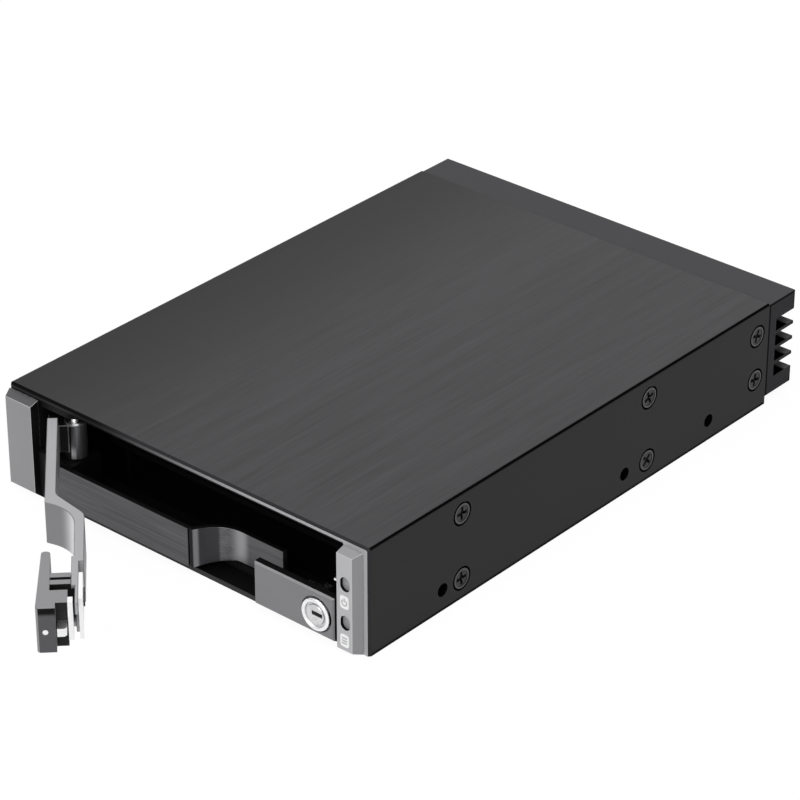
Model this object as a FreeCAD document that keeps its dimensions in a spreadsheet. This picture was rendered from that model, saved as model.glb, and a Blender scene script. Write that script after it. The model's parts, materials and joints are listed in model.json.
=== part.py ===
import FreeCAD, Part
import Sketcher
import math
import os
from types import SimpleNamespace

# Hot-swap cage for one 2.5-inch drive, made to slide into a 3.5-inch bay.
# Axes: +X to the right seen from the front, +Y to the rear, +Z up.
# Origin: centre of the folded body's underside.

doc = FreeCAD.newDocument("drive_cage")

DRIVING_SIZES = {
    # Folded cover: the outside of the cage, with walls of one sheet.
    "width": 101.6,
    "height": 25.4,
    "body_depth": 133.7,
    "cover_wall": 1.5,
    "cover_fold": 0.8,
    "cover_edge": 0.5,
    # Tray inside the cover, and the slack under the cover's top.
    "tray_wall": 1.2,
    "tray_slack": 0.4,
    # Bay holes in both sides, measured from the cover's front edge.
    "bay_hole": 3.0,
    "bay_hole_first": 22.4,
    "bay_hole_long_pitch": 60.0,
    "bay_hole_short_pitch": 30.0,
    "bay_hole_height": 5.0,
    # Countersunk cover screws: three pairs on each side.
    "screw_head": 5.5,
    "screw_shank": 3.0,
    "screw_length": 4.0,
    "screw_front": 28.4,
    "screw_middle": 90.3,
    "screw_rear_inset": 4.2,
    "screw_drop": 5.0,
    "screw_low": 4.9,
    "screw_rear_drop": 6.5,
    "screw_rear_low": 7.9,
    # Bezel posts at the two front corners.
    "bezel_depth": 2.3,
    "bezel_bevel": 1.05,
    "bezel_top_drop": 0.7,
    "left_post_foot": 2.05,
    "right_post_foot": 0.8,
    "left_post_width": 8.6,
    "right_post_width": 6.6,
    "post_peg": 1.0,
    "post_peg_length": 4.0,
    # Sill across the front and the finger recess bent into it.
    "sill_wall": 1.2,
    "sill_top": 11.4,
    "sill_bottom": 2.2,
    "sill_front": 1.8,
    "jamb_width": 2.6,
    "recess_width": 17.9,
    "recess_run": 3.6,
    "recess_depth": 6.25,
    "recess_radius": 8.7,
    "recess_rise": 1.8,
    "recess_overlap": 2.0,
    "sill_bend_shift": 0.69,
    "sill_groove": 0.45,
    "sill_groove_inset": 0.45,
    "sill_groove_depth": 0.4,
    # Lock panel to the right of the recess, with its key lock.
    "panel_width": 21.7,
    "panel_gap": 0.9,
    "panel_top": 11.7,
    "panel_bottom": 1.5,
    "panel_wall": 2.0,
    "panel_edge": 0.4,
    "panel_leg": 2.0,
    "panel_leg_drop": 0.8,
    "lock_from_right": 4.6,
    "lock_height": 6.3,
    "lock_ring": 3.7,
    "lock_ring_height": 0.6,
    "lock_pocket_gap": 0.3,
    "lock_pocket_depth": 0.8,
    "lock_barrel_radius": 3.0,
    "lock_barrel_end": 4.85,
    "lock_core_radius": 2.25,
    "lock_core_recess": 0.2,
    "keyway_width": 0.9,
    "keyway_length": 2.8,
    "keyway_shift": 0.5,
    "keyway_rise": 0.3,
    "keyway_depth": 4.0,
    "cam_wall": 0.8,
    "cam_reach": 9.3,
    "cam_half_width": 1.5,
    "cam_shoulder": 4.6,
    "cam_finger": 0.35,
    "cam_bore": 1.2,
    "lock_nut_flats": 7.0,
    "lock_nut_height": 1.6,
    "small_screw_head": 1.2,
    "small_screw_head_height": 0.6,
    "small_screw_shank": 0.6,
    # Moulded front frame with the hinge lugs.
    "frame_depth": 12.0,
    "beam_front": 5.4,
    "beam_top": 2.8,
    "lug_height": 1.7,
    "lug_radius": 2.8,
    "lug_block": 4.4,
    # Hinge of the door lever.
    "hinge_inset": 7.3,
    "hinge_back": 3.6,
    "hinge_pin_radius": 1.0,
    "hinge_pin_foot": 3.0,
    "running_gap": 0.05,
    "barrel_radius": 2.45,
    "barrel_bottom": 12.0,
    "pin_show": 1.5,
    "washer_radius": 2.3,
    "washer_height": 0.5,
    # Door lever: front plate, bend and end plate.
    "lever_rest_angle": 45.0,
    "lever_inset": 0.25,
    "lever_lift": 2.35,
    "lever_wall": 2.2,
    "lever_end_wall": 1.45,
    "lever_tail": 3.0,
    "lever_notch": 4.0,
    "lever_headroom": 0.5,
    "swing_gap": 0.3,
    "bend_lead": 1.0,
    "bend_run": 3.4,
    "bend_depth": 6.05,
    "bend_inner_lead": 3.0,
    "bend_inner_run": 7.8,
    "bend_outer_radius": 9.0,
    "bend_inner_radius": 3.5,
    "bend_wall": 2.0,
    "end_pad": 0.45,
    "end_pad_start": 1.8,
    "end_step": 3.8,
    "tongue_start": 12.4,
    "tongue_wall": 0.7,
    "tongue_height": 2.6,
    "tongue_root": 0.6,
    "lever_short": 1.4,
    # Sliding latch on the lever's end plate.
    "handle_length": 20.4,
    "handle_thin": 1.8,
    "handle_thick": 2.7,
    "handle_proud": 0.05,
    "handle_lift": 1.6,
    "handle_round": 0.8,
    "handle_block_start": 14.0,
    "handle_block_short": 1.9,
    "handle_block_depth": 3.5,
    "handle_block_foot": 0.15,
    "handle_gap": 4.12,
    "handle_end_pad": 1.15,
    "bar_start": 7.8,
    "bar_width": 1.6,
    "bar_pitch": 2.5,
    "bar_foot": 1.85,
    "bar_tenon_drop": 1.1,
    "latch_plate_wall": 0.8,
    "latch_plate_margin": 0.2,
    "latch_screw_head": 0.3,
    "latch_tab_wall": 0.5,
    "latch_tab_gap": 0.15,
    "latch_tab_room": 0.4,
    "face_plate_wall": 1.0,
    "face_plate_length": 2.0,
    "face_plate_foot": 1.3,
    "bolt_length": 7.0,
    "bolt_proud": 1.0,
    "bolt_share": 0.39,
    "bolt_wall": 1.85,
    "bolt_height": 1.8,
    "bolt_skin": 0.25,
    "bolt_bevel": 0.5,
    "latch_pin_radius": 0.55,
    "latch_pin_length": 6.0,
    "strike_wall": 0.6,
    "strike_length": 8.1,
    "strike_nose": 0.9,
    "strike_nose_height": 0.5,
    "strike_height": 6.4,
    "strike_slack": 0.15,
    "strike_pocket": 1.2,
    # Signal lights in the right post.
    "light_from_right": 4.4,
    "light_drop": 8.9,
    "light_low": 7.4,
    "light_lens": 1.25,
    "light_lens_run": 0.85,
    "light_stem": 1.0,
    "light_recess": 0.8,
    "light_board_wall": 1.0,
    # Shelf and guides for the drive.
    "drive_width": 69.85,
    "drive_slack": 0.95,
    "rail_wall_gap": 3.7,
    "deck_front": 14.0,
    "deck_wall": 1.2,
    "deck_margin": 1.6,
    "deck_leg_inset": 5.2,
    "rail_width": 4.0,
    "rail_slack": 0.4,
    "rail_lead": 6.0,
    "rail_lead_cut": 2.5,
    "rail_back_gap": 4.0,
    # Backplane with its connectors.
    "board_gap": 3.4,
    "board_wall": 1.6,
    "board_margin": 2.0,
    "connector_offset": 4.8,
    "connector_length": 42.0,
    "connector_height": 5.4,
    "connector_depth": 7.0,
    "connector_rise": 1.4,
    "blade_length": 33.4,
    "blade_gap": 1.8,
    "blade_depth": 5.0,
    "port_depth": 8.5,
    "port_height": 6.4,
    "port_wall": 1.2,
    "port_gap": 4.0,
    "data_port_length": 15.0,
    "power_port_length": 24.0,
    "port_tongue": 1.2,
    # Finned rear housing.
    "rear_depth": 9.9,
    "rear_inset": 0.2,
    "rear_top_inset": 0.5,
    "rear_foot": 1.7,
    "rear_plug": 12.7,
    "plug_slack": 0.2,
    "louvre_count": 4,
    "louvre_depth": 6.7,
    "louvre_gap": 3.05,
    "louvre_fin": 0.8,
    "louvre_drop": 4.7,
    "window_length": 52.0,
    "window_height": 12.0,
    "boss_radius": 2.6,
    "boss_inset": 6.0,
    "floor_screw_inset": 5.5,
    "floor_screw_head": 5.0,
}


class Size:
    """A length that knows both its number and its formula in the sheet."""

    def __init__(self, text, number):
        self.text = text
        self.number = number

    def __add__(self, other):
        other = as_size(other)
        return Size(f"({self.text} + {other.text})", self.number + other.number)

    def __sub__(self, other):
        other = as_size(other)
        return Size(f"({self.text} - {other.text})", self.number - other.number)

    def __mul__(self, other):
        other = as_size(other)
        return Size(f"({self.text} * {other.text})", self.number * other.number)

    def __truediv__(self, other):
        other = as_size(other)
        return Size(f"({self.text} / {other.text})", self.number / other.number)

    def __rsub__(self, other):
        return as_size(other) - self

    def __neg__(self):
        return as_size(0) - self

    __radd__ = __add__
    __rmul__ = __mul__


def as_size(value):
    if isinstance(value, Size):
        return value
    return Size(f"({float(value)})", float(value))


sheet = doc.addObject("Spreadsheet::Sheet", "sizes")
for row, (name, number) in enumerate(DRIVING_SIZES.items(), start=1):
    sheet.set(f"A{row}", name)
    sheet.set(f"B{row}", str(number))
    sheet.setAlias(f"B{row}", name)
doc.recompute()
size = SimpleNamespace(**{
    name: Size(f"sizes.{name}", number) for name, number in DRIVING_SIZES.items()
})

# Named places that several pieces share.
half = size.width / 2
front = -size.body_depth / 2
ceiling = size.height - size.cover_wall
inner_half = half - size.cover_wall - size.tray_wall
floor_top = size.tray_wall
left_in = -half + size.left_post_width
right_in = half - size.right_post_width
panel_right = right_in - size.panel_gap
panel_left = panel_right - size.panel_width
recess_corner = panel_left - size.recess_width
recess_wall = size.recess_depth - size.sill_front
sill_left = left_in + size.jamb_width
right_jamb = panel_right + size.strike_wall
hinge_x = left_in + size.hinge_inset
lock_x = panel_right - size.lock_from_right
light_x = half - size.light_from_right
light_high = size.height - size.light_drop
lug_bottom = ceiling - size.lug_height
barrel_top = lug_bottom - size.pin_show - size.washer_height
drive_half = (size.drive_width + size.drive_slack) / 2
drive_offset = inner_half - size.rail_wall_gap - size.rail_width - drive_half
plug_front = size.body_depth - size.rear_plug
board_back = plug_front - size.board_gap
board_front = board_back - size.board_wall


def make_body(label, x=0, y=0, z=0):
    body = doc.addObject("PartDesign::Body", label)
    body.Label = label
    for axis, place in zip("xyz", (x, y, z)):
        body.setExpression("Placement.Base." + axis, as_size(place).text)
    return body


def place_on_lever(item):
    """Put an item in the lever's own frame: origin on the hinge, +X along the closed lever."""
    item.Placement.Rotation = FreeCAD.Rotation(FreeCAD.Vector(0, 0, -1), size.lever_rest_angle.number)
    item.setExpression("Placement.Rotation.Angle", size.lever_rest_angle.text)
    item.setExpression("Placement.Base.x", hinge_x.text)
    item.setExpression("Placement.Base.y", (front + size.hinge_back).text)


def make_lever_body(label):
    body = doc.addObject("PartDesign::Body", label)
    body.Label = label
    place_on_lever(body)
    return body


def make_sketch(body, plane, offset):
    sketch = body.newObject("Sketcher::SketchObject", "Profile")
    origin = next(item for item in body.Origin.OriginFeatures if item.Role == plane)
    sketch.AttachmentSupport = [(origin, "")]
    sketch.MapMode = "FlatFace"
    sketch.setExpression("AttachmentOffset.Base.z", as_size(offset).text)
    return sketch


def tie(sketch, kind, places, length):
    index = sketch.addConstraint(Sketcher.Constraint(kind, *places, length.number))
    sketch.setExpression(f"Constraints[{index}]", length.text)


def hold_point(sketch, geometry, point, x, y):
    tie(sketch, "DistanceX", (-1, 1, geometry, point), as_size(x))
    tie(sketch, "DistanceY", (-1, 1, geometry, point), as_size(y))


def add_circle(sketch, x, y, radius):
    middle = FreeCAD.Vector(as_size(x).number, as_size(y).number, 0)
    circle = Part.Circle(middle, FreeCAD.Vector(0, 0, 1), as_size(radius).number)
    geometry = sketch.addGeometry(circle, False)
    hold_point(sketch, geometry, 3, x, y)
    tie(sketch, "Radius", (geometry,), as_size(radius))


def round_corner(sketch, corner, here, last_way, next_way, lines):
    """Put a tangent arc of the corner's radius between two lines that meet at it."""
    radius = as_size(corner[2])
    half_angle = last_way.getAngle(next_way) / 2
    middle = here + (last_way + next_way).normalize() * (radius.number / math.sin(half_angle))
    reach = radius.number / math.tan(half_angle)
    start = here + last_way * reach - middle
    end = here + next_way * reach - middle
    turns_left = last_way.cross(next_way).z < 0
    first, second = (start, end) if turns_left else (end, start)
    circle = Part.Circle(middle, FreeCAD.Vector(0, 0, 1), radius.number)
    angles = math.atan2(first.y, first.x), math.atan2(second.y, second.x)
    arc = sketch.addGeometry(Part.ArcOfCircle(circle, *angles), False)
    arc_start, arc_end = (1, 2) if turns_left else (2, 1)
    sketch.addConstraint(Sketcher.Constraint("Tangent", lines[0], 2, arc, arc_start))
    sketch.addConstraint(Sketcher.Constraint("Tangent", arc, arc_end, lines[1], 1))
    tie(sketch, "Radius", (arc,), radius)
    point = sketch.addGeometry(Part.Point(here), True)
    for line in lines:
        sketch.addConstraint(Sketcher.Constraint("PointOnObject", point, 1, line))
    hold_point(sketch, point, 1, corner[0], corner[1])


def add_loop(sketch, corners):
    """Close a loop of corners (x, y) or (x, y, radius); a loop of one corner is a circle."""
    if len(corners) == 1:
        add_circle(sketch, *corners[0])
        return
    count = len(corners)
    points = [FreeCAD.Vector(as_size(c[0]).number, as_size(c[1]).number, 0) for c in corners]
    ways = []
    ends = []
    for index, corner in enumerate(corners):
        here = points[index]
        last_way = (points[index - 1] - here).normalize()
        next_way = (points[(index + 1) % count] - here).normalize()
        ways.append((last_way, next_way))
        reach = 0
        if len(corner) == 3:
            reach = as_size(corner[2]).number / math.tan(last_way.getAngle(next_way) / 2)
        ends.append((here + last_way * reach, here + next_way * reach))
    lines = []
    for index in range(count):
        run = Part.LineSegment(ends[index][1], ends[(index + 1) % count][0])
        lines.append(sketch.addGeometry(run, False))
    for index, corner in enumerate(corners):
        pair = lines[index - 1], lines[index]
        if len(corner) == 3:
            round_corner(sketch, corner, points[index], *ways[index], pair)
        else:
            sketch.addConstraint(Sketcher.Constraint("Coincident", pair[0], 2, pair[1], 1))
            hold_point(sketch, pair[1], 1, corner[0], corner[1])


def extrude(body, plane, low, high, *loops, cut=False):
    """Pad or cut the loops between two places along the plane's own axis."""
    faces_forward = plane != "XZ_Plane"
    place = as_size(high if cut == faces_forward else low)
    sketch = make_sketch(body, plane, place if faces_forward else -place)
    for loop in loops:
        add_loop(sketch, loop)
    feature = body.newObject("PartDesign::Pocket" if cut else "PartDesign::Pad", "Cut" if cut else "Pad")
    feature.Profile = sketch
    feature.setExpression("Length", (as_size(high) - low).text)
    return feature


def revolve(body, plane, corners):
    """Turn the loop about the plane's upright axis: Z in XZ_Plane, Y in XY_Plane."""
    sketch = make_sketch(body, plane, 0)
    add_loop(sketch, corners)
    feature = body.newObject("PartDesign::Revolution", "Turned")
    feature.Profile = sketch
    feature.ReferenceAxis = (sketch, ["V_Axis"])
    feature.Angle = 360
    return feature


def box_loop(left, right, low, high):
    return [(left, low), (right, low), (right, high), (left, high)]


def bevel(body, feature, length, chooses):
    doc.recompute()
    names = [f"Edge{n}" for n, edge in enumerate(feature.Shape.Edges, start=1) if chooses(edge)]
    dressed = body.newObject("PartDesign::Chamfer", "Bevel")
    dressed.Base = (feature, names)
    dressed.setExpression("Size", as_size(length).text)
    return dressed


def lies_at(edge, axis, place):
    """True where both ends of an edge share one coordinate."""
    return all(abs(getattr(v, axis) - place.number) < 1e-4 for v in edge.Vertexes)


def lies_outside(edge):
    """True where both ends of an edge are on the cover's top or sides."""
    return all(abs(abs(v.X) - half.number) < 1e-4 or abs(v.Z - size.height.number) < 1e-4
               for v in edge.Vertexes)


def side_hole_places():
    """The (y, z) of the bay holes and of the cover screws, from the front edge."""
    second = size.bay_hole_first + size.bay_hole_long_pitch
    bay = [(y, size.bay_hole_height) for y in (
        size.bay_hole_first, second, second + size.bay_hole_short_pitch)]
    high = size.height - size.screw_drop
    screws = [(y, z) for y in (size.screw_front, size.screw_middle) for z in (high, size.screw_low)]
    rear = size.body_depth - size.screw_rear_inset
    screws += [(rear, size.height - size.screw_rear_drop), (rear, size.screw_rear_low)]
    return bay, screws


bay_places, screw_places = side_hole_places()


def countersink(body, plane, offset, places, wall, head, turned):
    """Countersunk screw holes through one sheet, from its outer face."""
    sketch = make_sketch(body, plane, offset)
    for across, up in places:
        add_circle(sketch, across, up, size.screw_shank / 2)
    doc.recompute()
    hole = body.newObject("PartDesign::Hole", "ScrewHoles")
    hole.Profile = sketch
    hole.DepthType = "Dimension"
    hole.setExpression("Depth", wall.text)
    hole.setExpression("Diameter", size.screw_shank.text)
    hole.HoleCutType = "Countersink"
    hole.HoleCutCustomValues = True
    hole.setExpression("HoleCutDiameter", head.text)
    hole.HoleCutCountersinkAngle = 90
    hole.DrillPoint = "Flat"
    hole.Reversed = turned


def make_cover():
    """Brushed aluminium sheet folded over the top and both sides."""
    body = make_body("cover", y=front)
    wall = size.cover_wall
    sheet = extrude(body, "XZ_Plane", 0, size.body_depth, [
        (-half, 0),
        (wall - half, 0),
        (wall - half, ceiling),
        (half - wall, ceiling),
        (half - wall, 0),
        (half, 0),
        (half, size.height, size.cover_fold),
        (-half, size.height, size.cover_fold),
    ])
    bevel(body, sheet, size.cover_edge, lambda edge: lies_at(edge, "Y", as_size(0)) and lies_outside(edge))
    extrude(body, "YZ_Plane", -half, half, *[[(y, z, size.bay_hole / 2)] for y, z in bay_places], cut=True)
    countersink(body, "YZ_Plane", half, screw_places, wall, size.screw_head, False)
    countersink(body, "YZ_Plane", -half, screw_places, wall, size.screw_head, True)
    return body


def make_tray():
    """Steel tray with two upright sides, which everything inside stands on."""
    body = make_body("tray", y=front)
    outer = half - size.cover_wall
    top = ceiling - size.tray_slack
    extrude(body, "XZ_Plane", 0, size.body_depth, [
        (-outer, 0, size.cover_fold),
        (outer, 0, size.cover_fold),
        (outer, top),
        (inner_half, top),
        (inner_half, floor_top),
        (-inner_half, floor_top),
        (-inner_half, top),
        (-outer, top),
    ])
    holes = [[(y, z, size.bay_hole / 2)] for y, z in bay_places]
    holes += [[(y, z, size.screw_shank / 2)] for y, z in screw_places]
    extrude(body, "YZ_Plane", -half, half, *holes, cut=True)
    countersink(body, "XY_Plane", 0, floor_screw_places(), floor_top, size.floor_screw_head, True)
    return body


def floor_screw_places():
    across = inner_half - size.floor_screw_inset / 2
    rear = size.body_depth - size.floor_screw_inset
    return [(side * across, y) for side in (-1, 1) for y in (size.floor_screw_inset + size.sill_wall, rear)]


def peg_places(side):
    """Pegs behind a post, at (x, z)."""
    x = (left_in - half) / 2 if side < 0 else light_x
    return [(x, ceiling - 3 * size.post_peg), (x, size.sill_top)]


def make_front_frame():
    """Black moulded frame behind the bezel, with the lever's hinge lugs."""
    body = make_body("front_frame", y=front)
    extrude(body, "XZ_Plane", size.beam_front, size.frame_depth, [
        (-inner_half, floor_top),
        (inner_half, floor_top),
        (inner_half, ceiling),
        (right_jamb, ceiling),
        (right_jamb, size.beam_top),
        (left_in, size.beam_top),
        (left_in, ceiling),
        (-inner_half, ceiling),
    ])
    extrude(body, "XZ_Plane", 0, size.beam_front,
            box_loop(-inner_half, left_in, floor_top, ceiling),
            box_loop(right_jamb, inner_half, floor_top, ceiling))
    sill_back = size.sill_wall - size.sill_front
    block_right = hinge_x + size.lug_radius
    extrude(body, "XY_Plane", floor_top, size.barrel_bottom - size.swing_gap, [
        (left_in, sill_back),
        (block_right, sill_back),
        (block_right, size.hinge_back + size.lug_block),
        (left_in, size.hinge_back + size.lug_block),
    ])
    extrude(body, "XY_Plane", lug_bottom, ceiling, [
        (left_in - size.lug_radius, size.hinge_back - size.lug_radius),
        (block_right, size.hinge_back - size.lug_radius, size.lug_radius * 0.9),
        (block_right, size.hinge_back + size.lug_radius, size.lug_radius * 0.9),
        (left_in - size.lug_radius, size.hinge_back + size.lug_radius),
    ])
    extrude(body, "XY_Plane", size.hinge_pin_foot, ceiling,
            [(hinge_x, size.hinge_back, size.hinge_pin_radius)], cut=True)
    extrude(body, "YZ_Plane", right_jamb, right_jamb + size.strike_pocket, strike_slot(), cut=True)
    extrude(body, "XZ_Plane", 0, size.frame_depth,
            [(light_x, light_high, size.light_stem)],
            [(light_x, size.light_low, size.light_stem)], cut=True)
    pegs = [[(x, z, size.post_peg)] for side in (-1, 1) for x, z in peg_places(side)]
    extrude(body, "XZ_Plane", 0, size.post_peg_length, *pegs, cut=True)
    shank = size.screw_shank / 2
    front_screws = [[(x, y, shank)] for x, y in floor_screw_places()[0::2]]
    extrude(body, "XY_Plane", floor_top, floor_screw_tip, *front_screws, cut=True)
    return body


floor_screw_tip = floor_top + size.screw_length


def make_post(label, side, outer, inner, foot):
    """Bezel post under the cover's edge, sloped at its top, foot and outer side, staked by two pegs."""
    body = make_body(label, y=front)
    low, high = (outer, inner) if side < 0 else (inner, outer)
    face = -size.bezel_depth
    extrude(body, "XZ_Plane", face, 0, box_loop(low, high, 0, ceiling))
    extrude(body, "XY_Plane", 0, ceiling, [
        (outer, 0),
        (outer, face),
        (outer - side * size.bezel_bevel, face),
    ], cut=True)
    extrude(body, "YZ_Plane", low, high, [
        (0, ceiling),
        (face, ceiling),
        (face, ceiling - size.bezel_top_drop),
    ], [
        (0, 0),
        (face, foot),
        (face, 0),
    ], cut=True)
    extrude(body, "XZ_Plane", 0, size.post_peg_length, *[
        [(x, z, size.post_peg)] for x, z in peg_places(side)])
    return body


def make_right_post():
    body = make_post("right_post", 1, half - size.cover_wall, right_in, size.right_post_foot)
    extrude(body, "XZ_Plane", -size.bezel_depth, 0,
            light_loop(light_x, light_high), light_loop(light_x, size.light_low), cut=True)
    return body


def light_loop(x, z):
    """Upright oval of a signal light, about (x, z)."""
    wide = size.light_lens
    tall = size.light_lens + size.light_lens_run / 2
    round_end = wide * 0.98
    return [
        (x - wide, z - tall, round_end),
        (x + wide, z - tall, round_end),
        (x + wide, z + tall, round_end),
        (x - wide, z + tall, round_end),
    ]


def make_front_sill():
    """Brushed strip across the front, bent inwards behind the finger recess."""
    body = make_body("front_sill", y=front)
    face = -size.sill_front
    back = face + size.sill_wall
    shift = size.sill_bend_shift
    bend_end = recess_corner + size.recess_run
    end = panel_left + size.recess_overlap
    extrude(body, "XY_Plane", size.sill_bottom, size.sill_top, [
        (sill_left, face),
        (recess_corner, face, size.sill_wall / 2),
        (bend_end, recess_wall, size.recess_radius),
        (end, recess_wall),
        (end, recess_wall + size.sill_wall),
        (bend_end - shift, recess_wall + size.sill_wall, size.recess_radius + size.sill_wall),
        (recess_corner - shift, back, size.sill_wall / 4),
        (sill_left, back),
    ])
    raised = size.sill_bottom + size.recess_rise
    extrude(body, "XZ_Plane", face, recess_wall + size.sill_wall, [
        (recess_corner, size.sill_bottom),
        (end, size.sill_bottom),
        (end, raised),
        (bend_end + size.recess_run, raised),
    ], cut=True)
    groove_end = recess_corner - size.sill_groove_inset
    extrude(body, "XY_Plane", size.sill_bottom, size.sill_top, box_loop(
        groove_end - size.sill_groove, groove_end, face, face + size.sill_groove_depth), cut=True)
    return body


def make_lock_panel():
    """Painted panel under the handle; the key lock goes through it."""
    body = make_body("lock_panel", y=front)
    face = -size.bezel_depth
    back = face + size.panel_wall
    plate = extrude(body, "XZ_Plane", face, back, box_loop(
        panel_left, panel_right, size.panel_bottom, size.panel_top))
    bevel(body, plate, size.panel_edge, lambda edge: lies_at(edge, "Y", face))
    leg = panel_left + size.recess_overlap
    second_leg = leg + 3 * size.panel_leg
    leg_top = size.lock_height - size.panel_leg_drop
    extrude(body, "XZ_Plane", back, size.beam_front,
            box_loop(leg, leg + size.panel_leg, size.panel_bottom, leg_top),
            box_loop(second_leg, second_leg + size.panel_leg, size.panel_bottom, leg_top))
    extrude(body, "XZ_Plane", face, back, [(lock_x, size.lock_height, size.lock_barrel_radius)], cut=True)
    extrude(body, "XZ_Plane", face, face + size.lock_pocket_depth,
            [(lock_x, size.lock_height, size.lock_ring + size.lock_pocket_gap)], cut=True)
    return body


def make_lock():
    """Key lock: chromed barrel and its nut, and the core with cam and screw that turn."""
    face = -size.bezel_depth
    ring_front = face - size.lock_ring_height
    bore = size.lock_core_radius + size.running_gap
    barrel = make_body("lock_barrel", x=lock_x, y=front, z=size.lock_height)
    revolve(barrel, "XY_Plane", [
        (bore, ring_front),
        (size.lock_ring, ring_front, size.lock_ring_height / 2),
        (size.lock_ring, face + size.lock_pocket_depth),
        (size.lock_barrel_radius, face + size.lock_pocket_depth),
        (size.lock_barrel_radius, size.lock_barrel_end),
        (bore, size.lock_barrel_end),
    ])
    core = make_body("lock_core", x=lock_x, y=front, z=size.lock_height)
    core_front = ring_front + size.lock_core_recess
    cam_front = size.lock_barrel_end + size.swing_gap
    cam_back = cam_front + size.cam_wall
    revolve(core, "XY_Plane", [
        (0, core_front),
        (size.lock_core_radius, core_front),
        (size.lock_core_radius, cam_front),
        (size.cam_bore, cam_front),
        (size.cam_bore, cam_back),
        (0, cam_back),
    ])
    keyway_left = size.keyway_shift - size.keyway_length / 2
    keyway_low = size.keyway_rise - size.keyway_width / 2
    extrude(core, "XZ_Plane", core_front, core_front + size.keyway_depth, box_loop(
        keyway_left, keyway_left + size.keyway_length, keyway_low, keyway_low + size.keyway_width), cut=True)
    screw_tip = cam_back - 3 * size.small_screw_head
    extrude(core, "XZ_Plane", screw_tip, cam_back, [(0, 0, size.small_screw_shank)], cut=True)
    cam = make_body("lock_cam", x=lock_x, y=front, z=size.lock_height)
    wide = size.cam_half_width
    narrow = size.cam_finger
    extrude(cam, "XZ_Plane", cam_front, cam_back, [
        (-size.cam_reach, -narrow, narrow * 0.8),
        (-size.cam_shoulder, -narrow),
        (-size.cam_shoulder, -wide),
        (size.lock_core_radius, -wide, wide * 0.9),
        (size.lock_core_radius, wide, wide * 0.9),
        (-size.cam_shoulder, wide),
        (-size.cam_shoulder, narrow),
        (-size.cam_reach, narrow, narrow * 0.8),
    ], [(0, 0, size.cam_bore)])
    screw = make_body("lock_screw", x=lock_x, y=front, z=size.lock_height)
    revolve(screw, "XY_Plane", [
        (0, screw_tip),
        (size.small_screw_shank, screw_tip),
        (size.small_screw_shank, cam_back),
        (size.lock_core_radius, cam_back),
        (size.lock_core_radius, cam_back + size.small_screw_head_height),
        (0, cam_back + size.small_screw_head_height),
    ])
    nut = make_body("lock_nut", x=lock_x, y=front, z=size.lock_height)
    corner = size.lock_nut_flats / math.sqrt(3)
    turns = [math.radians(60 * n) for n in range(6)]
    nut_front = face + size.panel_wall
    extrude(nut, "XZ_Plane", nut_front, nut_front + size.lock_nut_height,
            [(corner * math.cos(a), corner * math.sin(a)) for a in turns],
            [(0, 0, size.lock_barrel_radius)])
    return [barrel, core, cam, screw, nut]


# The lever's own places, measured along and across it from the hinge axis.
lever_bottom = size.sill_top + size.lever_lift
lever_top = ceiling - size.lever_headroom
lever_face = size.lever_inset - size.hinge_back - size.bezel_depth
bend_face = lever_face + size.bend_depth
end_face = bend_face - size.end_pad
end_back = end_face + size.lever_end_wall
bend_start = recess_corner - hinge_x - size.bend_lead
handle_start = panel_left - hinge_x - size.swing_gap
handle_end = handle_start + size.handle_length
lever_end = handle_end - size.lever_short
handle_back = end_face - size.handle_gap
block_back = handle_back + size.handle_block_depth
bar_low = lever_bottom + size.bar_foot
tenon_top = lever_top - size.bar_tenon_drop
bar_places = [handle_start + size.bar_start, handle_start + size.bar_start + size.bar_pitch]
plate_back = end_back + size.latch_plate_wall
bolt_low = lever_bottom + size.bolt_share * (lever_top - lever_bottom)
bolt_back = block_back - size.bolt_skin
latch_travel = 2 * (size.cam_finger + size.latch_tab_gap) + size.latch_tab_wall
tab_end = lock_x - hinge_x - size.cam_finger - size.latch_tab_gap


def make_door_lever():
    """Die-cast door lever: hinge barrel, front plate, finger bend and end plate."""
    body = make_lever_body("door_lever")
    step = handle_start + size.end_step
    pad_start = handle_start + size.end_pad_start
    tongue_start = handle_start + size.tongue_start
    tongue_face = end_back - size.tongue_wall
    back = lever_face + size.lever_wall
    thick_back = bend_face + size.bend_wall
    inner_start = bend_start - size.bend_inner_lead
    extrude(body, "XY_Plane", lever_bottom, lever_top, [
        (-size.lever_tail, lever_face),
        (bend_start, lever_face, size.lever_wall / 6),
        (bend_start + size.bend_run, bend_face, size.bend_outer_radius),
        (pad_start, bend_face),
        (pad_start, end_face),
        (tongue_start, end_face),
        (tongue_start, tongue_face),
        (lever_end, tongue_face),
        (lever_end, end_back),
        (step, end_back),
        (step, thick_back),
        (inner_start + size.bend_inner_run, thick_back, size.bend_inner_radius),
        (inner_start, back, size.bend_inner_radius),
        (-size.lever_tail, back),
    ])
    extrude(body, "XZ_Plane", lever_face - size.lever_wall, size.barrel_radius, box_loop(
        -2 * size.lever_tail, size.lever_notch, barrel_top, size.height), cut=True)
    extrude(body, "XY_Plane", size.barrel_bottom, barrel_top, [(0, 0, size.barrel_radius)])
    web = size.barrel_radius * 0.8
    extrude(body, "XY_Plane", lever_bottom, barrel_top, box_loop(-web, web, back - size.lever_wall / 2, 0))
    extrude(body, "XY_Plane", size.barrel_bottom, barrel_top,
            [(0, 0, size.hinge_pin_radius + size.running_gap)], cut=True)
    slack = size.swing_gap
    slot_end = bar_places[1] + size.bar_width + latch_travel + slack
    extrude(body, "XZ_Plane", end_face, end_back, box_loop(
        bar_places[0] - slack, slot_end, bar_low - slack, tenon_top + slack), cut=True)
    extrude(body, "XZ_Plane", end_face, end_back, box_loop(
        slot_end + size.tongue_root, lever_end, lever_bottom, lever_top - size.tongue_height), cut=True)
    return body


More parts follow.
